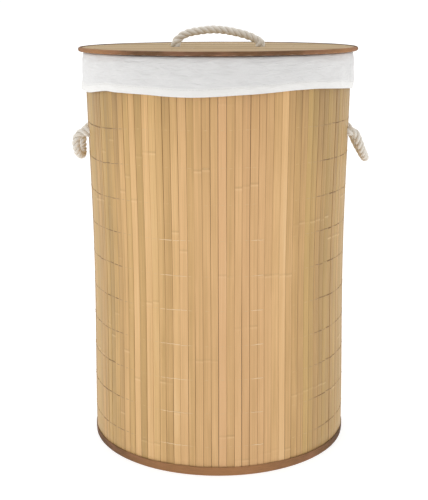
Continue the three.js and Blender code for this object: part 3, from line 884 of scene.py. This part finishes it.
def side_route(side, sign, loop):
    """The rope from one knot inside the wall, out, round the loop and back to the other knot."""
    pivot = JOINT_PLACE[side + "_handle_raise"]
    knots = [middle_of(f"{side}_handle_knot_{end}") for end in ("front", "back")]
    half_span = abs(knots[0][1])
    stub_in = abs(knots[0][0]) - 3 * MM
    front = [(sign * stub_in, -half_span, pivot[2]), (sign * (abs(pivot[0]) - 7 * MM), -half_span, pivot[2])]
    there = [
        (pivot[0] + sign * out * MM, share * half_span, pivot[2] - down * MM) for out, share, down in loop
    ]
    back = [(x, -y, z) for x, y, z in reversed(there[:-1])]
    return np.array(front + there + back + [(x, -y, z) for x, y, z in reversed(front)])


def lid_route():
    """The rope from the knot under one end of the lid, up, over the arch and down to the other knot."""
    pivot = JOINT_PLACE["lid_handle_flop"]
    knot = middle_of("lid_handle_knot_right")
    half_span = abs(knot[0])
    arch = [(share * half_span, 0, pivot[2] + up * MM) for share, up in LID_ARCH]
    feet = [(half_span, 0, knot[2]), (half_span, 0, pivot[2] - 6 * MM)]
    return np.array([(-x, y, z) for x, y, z in feet] + arch + list(reversed(feet)))


def strand_tubes(path, run, radius, lay):
    """Three strands laid round a path, each a tube whose surface shows the yarns it is spun from.

    Strand k runs at 0.54 radii from the path, at the angle k / 3 of a turn plus one turn per lay. Its own
    section is a circle of 0.57 radii, swelled by seven small lobes that turn the other way and by slow lumps.
    Just outside each hole, where the rope has been pinched, all of it swells by a bell along the path.
    """
    sides = 28
    side, up = steady_frames(path)[1:]
    phase = TURN * np.arange(3)[:, None] / 3 + TURN * run[None] / lay
    direction = np.cos(phase)[..., None] * side + np.sin(phase)[..., None] * up
    from_hole = np.minimum(run, run[-1] - run) - 15 * MM
    swell = 1 + 0.24 * np.exp(-((from_hole / (5.5 * MM)) ** 2))
    centre = path[None] + 0.54 * radius * (swell[:, None] * direction)
    heading = unit(np.gradient(centre, axis=1))
    outer = unit(direction - heading * np.sum(direction * heading, -1, keepdims=True))
    beside = np.cross(heading, outer)
    around = TURN * np.arange(sides) / sides
    yarn_turn = TURN * run / (0.55 * lay)
    lobes = np.abs(np.cos(3.5 * (around[None] + yarn_turn[:, None])))
    lumps = 0.03 * np.sin(run / (3.1 * MM) + 2.0 * np.sin(run / (9.7 * MM)))[:, None]
    section = 0.57 * radius * (0.94 + 0.08 * lobes + lumps) * swell[:, None]
    ring = (
        np.cos(around)[None, None, :, None] * outer[:, :, None]
        + np.sin(around)[None, None, :, None] * beside[:, :, None]
    )
    points = centre[:, :, None] + section[None, :, :, None] * ring
    away = np.linalg.norm(points - path[None, :, None], axis=-1) / (radius * swell[None, :, None])
    # Painted shade in the folds between strands and a painted highlight on the crests, by the distance from
    # the rope's middle.
    fold_shade = np.clip((away - 0.66) / 0.30, 0, 1) * (0.72 + 0.28 * lobes[None])
    yarn = np.stack([
        np.broadcast_to((around[None] + yarn_turn[:, None])[None] * 0.5 * radius, away.shape),
        np.broadcast_to(run[None, :, None], away.shape),
        np.broadcast_to(np.arange(3)[:, None, None] * 1.0, away.shape),
    ], -1)
    return points, fold_shade, yarn


def knot_tube(centre, axis, scale):
    """A stopper knot: a tube along a three-lobed knot curve.

    The curve is (sin t + 2 sin 2t, cos t - 2 cos 2t, -1.45 sin 3t).
    """
    steps, sides = 150, 16
    t = TURN * np.arange(steps) / steps
    axis = np.asarray(axis, float)
    first = unit(np.cross(axis, [0.31, 0.52, 0.79]))
    second = np.cross(axis, first)
    flat = np.stack([np.sin(t) + 2 * np.sin(2 * t), np.cos(t) - 2 * np.cos(2 * t), -1.45 * np.sin(3 * t)], -1)
    basis = np.stack([first, second, axis])
    path = centre + scale * flat @ basis
    heading = unit(np.roll(path, -1, 0) - np.roll(path, 1, 0))
    outward = path - centre + 0.35 * scale * axis
    outer = unit(outward - heading * np.sum(outward * heading, -1, keepdims=True))
    beside = np.cross(heading, outer)
    around = TURN * np.arange(sides) / sides
    lobes = 0.5 + 0.5 * np.cos(3 * around[None] + 9 * t[:, None])
    section = 1.42 * scale * (0.86 + 0.16 * lobes)
    ring = np.cos(around)[None, :, None] * outer[:, None] + np.sin(around)[None, :, None] * beside[:, None]
    points = path[:, None] + section[..., None] * ring
    yarn = np.stack([around[None] * 0.004 + 0 * lobes, t[:, None] * 0.012 + 0 * lobes, 5 + 0 * lobes], -1)
    # The knot's second value is painted shade and highlight, following its lobes.
    return points, 0.35 + 0.55 * lobes, yarn


def fibre_tubes(rng, roots, directions, length, radius=0.07 * MM):
    """Loose fibres: three-sided tubes of five rings that leave a root, bend by chance and taper away."""
    rings, sides = 5, 3
    count = len(roots)
    share = np.linspace(0, 1, rings)
    bend = rng.normal(0, 0.55, (count, 3))
    reach = (length * rng.uniform(0.5, 1.3, count))[:, None, None]
    path = roots[:, None] + reach * (
        share[None, :, None] * directions[:, None] + (share**2)[None, :, None] * bend[:, None]
    )
    heading = unit(np.gradient(path, axis=1))
    side = unit(np.cross(heading, [0.41, 0.67, 0.62]))
    up = np.cross(heading, side)
    around = TURN * np.arange(sides) / sides
    thick = radius * (1.0 - 0.75 * share)[None, :, None, None]
    ring = np.cos(around)[:, None] * side[:, :, None] + np.sin(around)[:, None] * up[:, :, None]
    return path[:, :, None] + thick * ring, rings, sides


def rope_fibres(rng, path, radius, feet, spray):
    """Fibres along the rope's surface, and a frayed spray round each foot where the rope enters its hole."""
    tangent, side, up = steady_frames(path)
    index = rng.integers(4, len(path) - 4, 620)
    angle = rng.uniform(0, TURN, len(index))
    outward = np.cos(angle)[:, None] * side[index] + np.sin(angle)[:, None] * up[index]
    roots = path[index] + outward * radius * 0.90
    lean = outward * 0.6 + tangent[index] * rng.choice([-1, 1], len(index))[:, None]
    surface = fibre_tubes(rng, roots, unit(lean + rng.normal(0, 0.3, roots.shape)), 3.0 * MM)
    place = np.repeat([foot for foot, away, count in feet], [count for foot, away, count in feet], 0)
    away = np.repeat([away for foot, away, count in feet], [count for foot, away, count in feet], 0)
    around = rng.normal(0, 1, place.shape)
    around = unit(around - away * np.sum(around * away, -1, keepdims=True))
    around = unit(around + spray * np.sign(np.sum(place * spray, -1, keepdims=True)))
    roots = place + around * radius * 0.8 + away * rng.uniform(0, 1.5, (len(place), 1)) * MM
    lean = unit(around + 0.35 * away + rng.normal(0, 0.25, place.shape))
    frayed = fibre_tubes(rng, roots, lean, 4.5 * MM, 0.12 * MM)
    return [surface, frayed]


def joined_tubes(name, parts):
    """One mesh from closed tubes: each part is (points, fold, yarn, tube count, rings, sides, ends meet)."""
    used, faces, blocks = 0, [], []
    for points, fold_shade, yarn, count, rings, sides, ends_meet in parts:
        faces.append(repeated(grid_faces(rings, sides, close_rows=ends_meet), count, rings * sides) + used)
        if not ends_meet:
            faces.append(repeated(end_caps(rings, sides), count, rings * sides) + used)
        flat = np.reshape(points, (-1, 3))
        blocks.append((flat, np.broadcast_to(fold_shade, points.shape[:-1]).ravel(), np.reshape(yarn, (-1, 3))))
        used += len(flat)
    points, fold_shade, yarn = (np.concatenate(block) for block in zip(*blocks))
    return write_mesh(name, points, faces, {"fold_shade": fold_shade, "yarn": yarn})


def rope_pieces(name, route, feet, spray, seed):
    """One rope handle: its strands, its two stopper knots, its loose fibres and the path it follows."""
    look = bpy.context.scene.hamper_rope
    rng = np.random.default_rng(seed)
    path, run = path_through(route, 0.85 * MM)
    points, fold_shade, yarn = strand_tubes(path, run, look.radius, look.lay)
    rope = joined_tubes(name + "_rope_strands", [(points, fold_shade, yarn, *points.shape[:3], False)])
    ends = ((route[0], route[1] - route[0]), (route[-1], route[-2] - route[-1]))
    parts = [knot_tube(end, unit(axis), 2.05 * MM) for end, axis in ends]
    parts = [(points, fold_shade, yarn, 1, *points.shape[:2], True) for points, fold_shade, yarn in parts]
    knots = joined_tubes(name + "_rope_knots", parts)
    parts = [
        (points, 0.95, points * 0.3, len(points), rings, sides, False)
        for points, rings, sides in rope_fibres(rng, path, look.radius, feet, spray)
    ]
    fibres = joined_tubes(name + "_rope_fibres", parts)
    return rope, knots, fibres, path[::4]


# ---------------------------------------------------------------- liner
# Where the cuff's hem dips or rides up: degrees round from the front, millimetres up, width in degrees.
HEM_WAVES = [
    (-68, -5.5, 11), (-50, 0.8, 4), (-12, -3.4, 17), (38, 4.4, 20), (84, -4, 16), (118, 3, 14),
    (150, -4, 18), (187, 2.5, 12), (214, -5, 15), (248, 3, 14), (272, -3, 10),
]
HEM_MEAN = 551.7 * MM
# Creases in the cuff: degrees from the front, millimetres below the rim, lean in degrees, half length and
# half width in millimetres, height in millimetres (less than nothing is a hollow).
CREASES = [
    (69, 24, 4, 16, 2.2, -1.6), (66.5, 22, -3, 17, 2.6, 1.2), (-58, 36, -52, 16, 5, 1.1),
    (-44, 30, 48, 18, 5, -0.9), (-33, 40, -62, 20, 5, 0.8), (-20, 22, 70, 26, 6, 0.6),
    (-6, 38, -68, 24, 5, -0.7), (8, 34, 60, 22, 6, 0.8), (22, 26, -58, 24, 6, -0.6),
    (34, 38, 64, 20, 5, 0.8), (48, 30, -50, 20, 6, -0.8), (58, 40, 40, 14, 4, 0.9),
]


def cuff_relief(angle, drop):
    """How far the cuff stands off its plain round, in metres.

    Slow swells round the hamper that grow from the rim to the hem, soft creases that are long narrow bells
    at a lean, a corner of the hem that kicks out at the left, and a belly between rim and hem that is
    fullest at the two sides.
    """
    turned = angle_gap(angle, FRONT)
    degrees = np.degrees(turned)
    grow = np.clip(drop / (50 * MM), 0, 1)
    swells = (
        0.55 * np.sin(7 * turned + 1.1) + 0.45 * np.sin(12 * turned + 4.0) + 0.35 * np.sin(19 * turned + 2.2)
        + 0.22 * np.sin(31 * turned + 0.6)
    ) * MM * (0.25 + grow)
    relief = 1.25 * swells
    rng = np.random.default_rng(5)
    chance = [
        (rng.uniform(75, 288), rng.uniform(12, 44), rng.uniform(-75, 75), rng.uniform(12, 26),
         rng.uniform(3, 6), rng.uniform(-1.2, 1.3))
        for _ in range(46)
    ]
    for place, below, lean, half_length, half_width, height in CREASES + chance:
        sideways = angle_gap(angle, FRONT + math.radians(place)) * WALL_RADIUS
        down = drop - below * MM
        tilt = math.radians(lean)
        along = down * math.cos(tilt) + sideways * math.sin(tilt)
        across = sideways * math.cos(tilt) - down * math.sin(tilt)
        relief = relief + height * MM * np.exp(
            -((along / (half_length * MM)) ** 2) - (across / (half_width * MM)) ** 2
        )
    kick = np.exp(-(((degrees + 80) / 7) ** 2)) * np.clip((drop - 30 * MM) / (20 * MM), 0, 1) ** 2
    belly = np.sin(np.pi * np.clip((drop + 8 * MM) / (66 * MM), 0, 1)) ** 0.6
    sides = np.sin(turned) ** 2
    return relief + (3.2 * kick + (0.5 + 1.9 * sides) * belly) * MM


def hem_height(angle):
    """Height of the cuff's lower edge: its mean, and a bell for each place where it dips or rides up."""
    height = np.full(np.shape(angle), HEM_MEAN)
    for place, up, width in HEM_WAVES:
        gap = np.degrees(angle_gap(angle, FRONT + math.radians(place)))
        height = height + up * MM * np.exp(-((gap / width) ** 2))
    return height


def liner_cloth():
    """The liner from the floor seam up inside, over the rim and down to the cuff's hem, one sheet.

    Across the grid is the angle round the hamper. Up the grid is a route in (radius, height): the hanging
    bag, the flare to the rim, a half round over it, and the cuff, which the relief moves off its round.
    """
    segments = 560
    angle = FRONT + TURN * np.arange(segments) / segments
    look = bpy.context.scene.hamper_cloth
    bag_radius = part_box("liner_floor")[1].x
    rim_inner = BAG_HIGH.x - 0.6 * MM
    cuff_radius = CUFF_HIGH.x - 0.3 * MM
    crown = CUFF_HIGH.z - 0.2 * MM
    bend = (cuff_radius - rim_inner) / 2
    flare_low = WALL_TOP - 78 * MM
    bag_share = np.linspace(0, 1, 26)[:, None]
    bag_height = BAG_LOW.z + bag_share * (flare_low - BAG_LOW.z)
    folds = sum(
        weight * np.cos(count * angle + phase)
        for weight, count, phase in ((0.5, 9, 0.4), (0.35, 14, 2.0), (0.3, 23, 5.1), (0.2, 37, 1.3))
    )[None]
    slack = np.sin(np.pi * np.clip(bag_share * 1.05, 0, 1)) ** 0.7
    bag = bag_radius - 2.2 * MM - (2.0 * MM + 1.9 * MM * folds) * slack
    bag_height = bag_height + 0 * angle[None]
    flare_share = np.linspace(0, 1, 14)[1:, None]
    ease = flare_share**2 * (3 - 2 * flare_share)
    flare = bag[-1:] * (1 - ease) + rim_inner * ease + 1.1 * MM * folds * np.sin(np.pi * flare_share) * 0.8
    flare_height = flare_low + flare_share * (WALL_TOP - 8 * MM - flare_low) + 0 * angle[None]
    around = np.linspace(0, np.pi, 11)[:, None]
    over = (rim_inner + cuff_radius) / 2 - bend * np.cos(around) + 0 * angle[None]
    over_height = crown - 2.6 * MM + 2.6 * MM * np.sin(around) + 0 * angle[None]
    bottom = hem_height(angle)[None]
    hem = look.hem_height
    coarse, fine = np.linspace(0, 1, 24)[1:] * 0.78, 0.78 + np.linspace(0, 1, 16)[1:] * 0.22
    fall = np.concatenate([coarse, fine])[:, None]
    cuff_top = crown - 2.6 * MM
    cuff_height = cuff_top - fall * (cuff_top - bottom)
    drop = WALL_TOP - cuff_height
    above_hem = cuff_height - bottom
    doubled = 1 / (1 + np.exp(np.clip((above_hem - hem) / (0.35 * MM), -40, 40)))
    stitch_dent = np.exp(-(((above_hem - hem * 0.9) / (0.8 * MM)) ** 2))
    settle = np.clip((cuff_top - cuff_height) / (8 * MM), 0, 1)
    relief = settle * cuff_relief(angle[None], drop)
    cuff = cuff_radius + relief + 0.55 * MM * doubled - 0.5 * MM * stitch_dent
    cuff = np.maximum(cuff, RIM_TAPE_HIGH.x + 0.35 * MM)
    radius = np.concatenate([bag, flare, over[1:-1], cuff])
    height = np.concatenate([bag_height, flare_height, over_height[1:-1], cuff_height])
    points = np.stack([radius * np.cos(angle), radius * np.sin(angle), height], -1)
    step = np.hypot(np.diff(radius, axis=0), np.diff(height, axis=0))
    length = np.concatenate([np.zeros((1, segments)), np.cumsum(step, 0)])
    along = angle_gap(angle, FRONT)[None] * WALL_RADIUS
    weave = np.stack([np.broadcast_to(along, radius.shape), 0 * radius, length], -1)
    faces = grid_faces(len(radius), segments)[:, ::-1]
    doubled_share = np.zeros(radius.shape)
    doubled_share[-len(fall):] = doubled
    piece = write_mesh("liner_cloth", points, [faces], {"grain": weave, "doubled": doubled_share.ravel()})
    solidify = piece.modifiers.new("cloth_thickness", "SOLIDIFY")
    solidify.thickness = look.cloth_thickness
    solidify.offset = 0.0
    return piece


def liner_base():
    """The bag's round floor: a disc with soft radial puckers that fade to its middle, and a low seam roll."""
    segments, rings = 280, 40
    angle = TURN * np.arange(segments) / segments
    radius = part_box("liner_floor")[1].x - 2.4 * MM
    share = np.linspace(0, 1, rings + 1)[1:, None]
    puckers = sum(
        weight * np.cos(count * angle + phase)
        for weight, count, phase in ((0.6, 17, 1), (0.5, 29, 3), (0.4, 41, 2))
    )[None]
    low = (BAG_FLOOR_LOW.z + BAG_FLOOR_HIGH.z) / 2
    drift = 0.8 * MM * np.sin(3 * angle + 1)[None] * share * (1 - share)
    height = low + 0.7 * MM * share**6 * (1 + puckers) + np.abs(drift)
    points = np.stack([radius * share * np.cos(angle), radius * share * np.sin(angle), height], -1)
    points = np.concatenate([[[0, 0, low]], points.reshape(-1, 3)])
    spoke = np.arange(segments)
    fan = np.stack([0 * spoke, 1 + spoke, 1 + (spoke + 1) % segments], -1)
    faces = grid_faces(rings, segments)[:, ::-1] + 1
    grain = np.stack([points[:, 0], 0 * points[:, 0], points[:, 1]], -1)
    piece = write_mesh("liner_base_cloth", points, [fan, faces], {"grain": grain})
    solidify = piece.modifiers.new("cloth_thickness", "SOLIDIFY")
    solidify.thickness = bpy.context.scene.hamper_cloth.cloth_thickness
    solidify.offset = 0.0
    return piece


def cuff_stitches():
    """The run of stitches along the hem: short rounded bars end to end, just proud of the cloth."""
    look = bpy.context.scene.hamper_cloth
    pitch = 4.2 * MM
    radius = CUFF_HIGH.x - 0.3 * MM
    count = int(TURN * radius / pitch)
    angle = FRONT + TURN * np.arange(count) / count
    rings, sides = 5, 6
    share = np.linspace(-1, 1, rings)
    local = angle[:, None] + share[None] * 0.36 * pitch / radius
    height = hem_height(local) + look.hem_height * 0.9
    drop = WALL_TOP - height
    plain = radius + cuff_relief(local, drop) + 0.30 * MM
    proud = look.cloth_thickness / 2 + 0.10 * MM * (1 - share[None] ** 2)
    thick = 0.26 * MM * np.sqrt(1.02 - share**2)[None, :, None]
    around = TURN * np.arange(sides) / sides
    ring_radius = (plain + proud)[..., None] - 0.25 * MM + thick * np.cos(around)
    points = np.stack([
        ring_radius * np.cos(local)[..., None],
        ring_radius * np.sin(local)[..., None],
        height[..., None] - thick * np.sin(around),
    ], -1)
    faces = [
        repeated(grid_faces(rings, sides), count, rings * sides),
        repeated(end_caps(rings, sides), count, rings * sides),
    ]
    return write_mesh("cuff_stitches", points, faces, {"grain": points.reshape(-1, 3)})


# ---------------------------------------------------------------- operators
class HAMPER_OT_stage(bpy.types.Operator):
    """Floor, background light, soft lamps and the camera"""

    bl_idname = "hamper.stage"
    bl_label = "Stage"

    def execute(self, context):
        scene = context.scene
        scene.view_settings.view_transform = "Standard"
        paint = Finish("pale_floor", 0.9, Emission_Strength=0.66)
        paint.surface.inputs["Base Color"].default_value = (0.5, 0.5, 0.5, 1)
        paint.surface.inputs["Emission Color"].default_value = (1.0, 1.0, 1.0, 1)
        half = 30.0
        corners = np.array([(-half, -half, 0), (half, -half, 0), (half, half, 0), (-half, half, 0)])
        floor = write_mesh("floor", corners, [np.array([[0, 1, 2, 3]])], smooth=False)
        floor.data.materials.append(paint.material)
        self.surround(scene)
        self.lamp("left_softbox", (-2.0, -2.0, 1.5), 1.6, 12)
        self.lamp("right_softbox", (2.4, -1.4, 1.4), 1.6, 7)
        self.lamp("top_softbox", (-0.3, -0.4, 2.8), 2.0, 5)
        lens = bpy.data.cameras.new("camera")
        camera = bpy.data.objects.new("camera", lens)
        scene.collection.objects.link(camera)
        lens.sensor_width = 36.0
        lens.lens = 70.5816
        lens.shift_x = -0.00794
        camera.location = (0.0, -1.5144, 0.6618)
        camera.rotation_euler = (math.radians(90 - 13.768), math.radians(0.15), 0.0)
        lens.clip_start, lens.clip_end = 0.05, 100
        scene.camera = camera
        return {"FINISHED"}

    def surround(self, scene):
        """A white room, dimmer towards the front, that is plain white where the camera sees it."""
        world = bpy.data.worlds.new("studio")
        scene.world = world
        world.use_nodes = True
        nodes, links = world.node_tree.nodes, world.node_tree.links
        background = nodes["Background"]
        background.inputs["Color"].default_value = (1.0, 1.0, 1.0, 1)
        direction = nodes.new("ShaderNodeTexCoord")
        split = nodes.new("ShaderNodeSeparateXYZ")
        front_to_back = nodes.new("ShaderNodeMapRange")
        for socket, value in ((1, -1.0), (2, 0.4), (3, 0.26), (4, 1.28)):
            front_to_back.inputs[socket].default_value = value
        seen = nodes.new("ShaderNodeLightPath")
        strength = nodes.new("ShaderNodeMix")
        strength.inputs["B"].default_value = 1.05
        links.new(direction.outputs["Generated"], split.inputs[0])
        links.new(split.outputs["Y"], front_to_back.inputs[0])
        links.new(seen.outputs["Is Camera Ray"], strength.inputs["Factor"])
        links.new(front_to_back.outputs[0], strength.inputs["A"])
        links.new(strength.outputs["Result"], background.inputs["Strength"])

    def lamp(self, name, place, size, power):
        light = bpy.data.lights.new(name, "AREA")
        light.shape = "DISK"
        light.size = size
        light.energy = power
        lamp = bpy.data.objects.new(name, light)
        bpy.context.scene.collection.objects.link(lamp)
        lamp.location = place
        aim = np.array([0, 0, 0.32]) - np.array(place)
        yaw = math.atan2(aim[1], aim[0]) - math.pi / 2
        pitch = math.atan2(math.hypot(aim[0], aim[1]), -aim[2])
        lamp.rotation_euler = (pitch, 0.0, yaw)


class HAMPER_OT_wall(bpy.types.Operator):
    """Single bamboo slats and the rows of thread that hold them"""

    bl_idname = "hamper.wall"
    bl_label = "Slat wall"

    def execute(self, context):
        finish_piece(wall_slats(), "hamper", bamboo_finish(), ["slat_wall"])
        finish_piece(thread_rows(), "hamper", thread_finish())
        return {"FINISHED"}


class HAMPER_OT_frame(bpy.types.Operator):
    """Cloth behind the slats, hoops, tapes, base panel, batten and tacks"""

    bl_idname = "hamper.frame"
    bl_label = "Hoops, tapes and base"

    def execute(self, context):
        cloth = bpy.context.scene.hamper_cloth
        canvas = canvas_finish("backing_canvas", "grain")
        bent = plain_wood_finish("bentwood", (0.40, 0.25, 0.12), (0.62, 0.43, 0.24), (25, 300, 300))
        tape = tape_finish("brown_tape")
        low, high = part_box("wall_backing")
        backing_thickness, hoop_thickness = 0.6 * MM, 4 * MM
        inner = high.x - backing_thickness
        steps = np.linspace(low.z, high.z, 30)
        outline = [(high.x, z) for z in steps] + [(inner, z) for z in steps[::-1]]
        finish_piece(
            turned_ring("wall_backing_cloth", outline, 224, waisted=True), "hamper", canvas,
            ["wall_backing"],
        )
        for node, name in (("top_hoop", "rim_bent_hoop"), ("base_hoop", "foot_bent_hoop")):
            low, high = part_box(node)
            inner = high.x - hoop_thickness
            corners = [(inner, low.z), (high.x, low.z), (high.x, high.z), (inner, high.z)]
            ring = turned_ring(name, rounded_outline(corners, 0.9 * MM), 224)
            finish_piece(ring, "hamper", bent, [node])
        face, lip, thick, high = TAPE_HIGH.x, WALL_RADIUS - 5 * MM, 0.75 * MM, cloth.tape_height
        foot = [
            (lip, 0), (face, 0), (face + 0.15 * MM, high * 0.5), (face, high),
            (face - thick, high), (face - thick, thick), (lip, thick),
        ]
        outline = rounded_outline(foot, 0.3 * MM)
        ring = turned_ring(
            "foot_tape", outline, 448, ripple=0.16 * MM, seed=3, rise=foot_tape_rise, dye_and_shade=foot_tape_side_shade
        )
        finish_piece(ring, "hamper", tape, ["bottom_tape"])
        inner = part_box("top_hoop")[1].x
        face, top, bottom, thick = RIM_TAPE_HIGH.x, RIM_TAPE_HIGH.z, RIM_TAPE_LOW.z, 0.45 * MM
        rim = [
            (inner, top), (inner, top - thick), (face - thick, top - thick), (face - thick, bottom),
            (face, bottom), (face, top),
        ]
        ring = turned_ring("rim_tape", rounded_outline(rim, 0.2 * MM), 336, dye_and_shade=even_dye)
        finish_piece(ring, "hamper", tape, ["top_tape"])
        board = board_finish()
        steel = steel_finish()
        strip = plain_wood_finish("batten_wood", (0.46, 0.29, 0.14), (0.66, 0.46, 0.25), (260, 260, 14), None)
        for name, node in frame["nodes"].items():
            paint = {"base_panel": board, "lid_board": board, "seam_batten": strip}.get(name)
            if "tack" in name:
                paint = steel
            if paint:
                node.data.materials.clear()
                node.data.materials.append(paint)
        return {"FINISHED"}


class HAMPER_OT_liner(bpy.types.Operator):
    """The removable cloth bag with its cuff, hem and stitches"""

    bl_idname = "hamper.liner"
    bl_label = "Liner"

    def execute(self, context):
        cotton = liner_finish()
        cloth = finish_piece(liner_cloth(), "liner", cotton, ["liner_cuff", "liner_side"])
        base = finish_piece(liner_base(), "liner", cotton, ["liner_floor"])
        stitches = finish_piece(cuff_stitches(), "liner", cotton)
        return {"FINISHED"}


class HAMPER_OT_lid(bpy.types.Operator):
    """The lid's slats, edge tape and lining"""

    bl_idname = "hamper.lid"
    bl_label = "Lid"

    def execute(self, context):
        # The lid's wash is painted shade: it darkens and greys the top of the lid.
        bamboo = bamboo_finish("lid_bamboo", (0.69, 0.80, 0.98), 0.17, (0.66, 0.85))
        finish_piece(lid_slats(), "lid", bamboo, ["lid_slats"])
        tape = tape_finish("lid_brown_tape")
        face, low, high, thick = LID_TAPE_HIGH.x, LID_TAPE_LOW.z, LID_TAPE_HIGH.z, 0.5 * MM
        upper, lower, middle = face - 5 * MM, WALL_RADIUS - 4 * MM, (low + high) / 2
        bend = (high - low) / 2
        around = np.linspace(-math.pi / 2, math.pi / 2, 13)
        outer = [(face - bend + bend * math.cos(a), middle + bend * math.sin(a)) for a in around]
        inner = [
            (x - thick if x > face - bend else x, middle + (z - middle) * (1 - thick / bend))
            for x, z in outer
        ]
        edge = [
            (lower, low), *outer, (upper, high),
            (upper, high - thick), *reversed(inner), (lower, low + thick),
        ]
        ring = turned_ring("lid_edge_tape", edge, 448, ripple=0.04 * MM, seed=8, dye_and_shade=lid_tape_shade_by_turn)
        finish_piece(ring, "lid", tape, ["lid_tape"])
        canvas = canvas_finish("lid_canvas", across="Y")
        lining = frame["nodes"]["lid_lining"]
        lining.data.materials.clear()
        lining.data.materials.append(canvas)
        return {"FINISHED"}


class HAMPER_OT_ropes(bpy.types.Operator):
    """The three twisted rope handles with their knots"""

    bl_idname = "hamper.ropes"
    bl_label = "Rope handles"

    def execute(self, context):
        paint = rope_finish()
        pivot = JOINT_PLACE["lid_handle_flop"]
        span = abs(middle_of("lid_handle_knot_right")[0])
        surface = LID_SLATS_HIGH.z + 0.6 * MM
        up = np.array([0.0, 0.0, 1.0])
        feet = [(np.array([-span, 0, surface]), up, 30), (np.array([span, 0, surface]), up, 64)]
        made = rope_pieces("lid", lid_route(), feet, np.array([0.9, 0.0, 0]), 41)
        nodes = ["lid_handle_rope", "lid_handle_knot_left", "lid_handle_knot_right"]
        start, end = (0, 0, pivot[2] - 6 * MM), (0, 0, pivot[2] + 7 * MM)
        self.hang(made, paint, nodes, ("lid", "lid_handle", start, end), feet[0][0], "loose")
        for side, sign, loop, seed in (("left", -1, LEFT_LOOP, 43), ("right", 1, RIGHT_LOOP, 47)):
            pivot = JOINT_PLACE[side + "_handle_raise"]
            route = side_route(side, sign, loop)
            outward = np.array([float(sign), 0.0, 0.0])
            wall = abs(pivot[0]) - 6 * MM
            half_span = abs(route[0][1])
            feet = [(np.array([sign * wall, y, pivot[2]]), outward, 26) for y in (-half_span, half_span)]
            made = rope_pieces(side, route, feet, np.array([0.2 * sign, 0, 0]), seed)
            nodes = [f"{side}_handle_rope", f"{side}_handle_knot_front", f"{side}_handle_knot_back"]
            start = (pivot[0] - sign * 6 * MM, 0, pivot[2])
            end = (pivot[0] + sign * 7 * MM, 0, pivot[2])
            self.hang(made, paint, nodes, ("hamper", side + "_handle", start, end), feet[0][0], "hanging")
        return {"FINISHED"}

    def hang(self, made, paint, nodes, bend, exit, lay):
        rope, knots, fibres, path = made
        for piece in (rope, knots, fibres):
            finish_piece(piece, None, paint)
            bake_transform(piece)
        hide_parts(nodes[0])
        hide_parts(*nodes[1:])


class HAMPER_PT_pieces(bpy.types.Panel):
    """Lists the hamper's pieces and the sizes and colours they take"""

    bl_idname = "HAMPER_PT_pieces"
    bl_label = "Laundry hamper"
    bl_space_type = "VIEW_3D"
    bl_region_type = "UI"
    bl_category = "Hamper"

    def draw(self, context):
        for operator in OPERATORS:
            self.layout.operator(operator.bl_idname)
        for group in SETTINGS:
            box = self.layout.box()
            for name in group.__annotations__:
                box.prop(getattr(context.scene, SETTINGS[group]), name)


SETTINGS = {
    HamperWallSettings: "hamper_wall",
    HamperRopeSettings: "hamper_rope",
    HamperClothSettings: "hamper_cloth",
}
OPERATORS = [
    HAMPER_OT_stage,
    HAMPER_OT_ropes,
    HAMPER_OT_wall,
    HAMPER_OT_frame,
    HAMPER_OT_liner,
    HAMPER_OT_lid,
]


def register():
    for group, name in SETTINGS.items():
        bpy.utils.register_class(group)
        setattr(bpy.types.Scene, name, bpy.props.PointerProperty(type=group))
    for operator in OPERATORS:
        bpy.utils.register_class(operator)
    bpy.utils.register_class(HAMPER_PT_pieces)


def unregister():
    bpy.utils.unregister_class(HAMPER_PT_pieces)
    for operator in reversed(OPERATORS):
        bpy.utils.unregister_class(operator)
    for group, name in SETTINGS.items():
        delattr(bpy.types.Scene, name)
        bpy.utils.unregister_class(group)


def main():
    register()
    for operator in OPERATORS:
        category, name = operator.bl_idname.split(".")
        getattr(getattr(bpy.ops, category), name)()


if __name__ == "__main__":
    main()
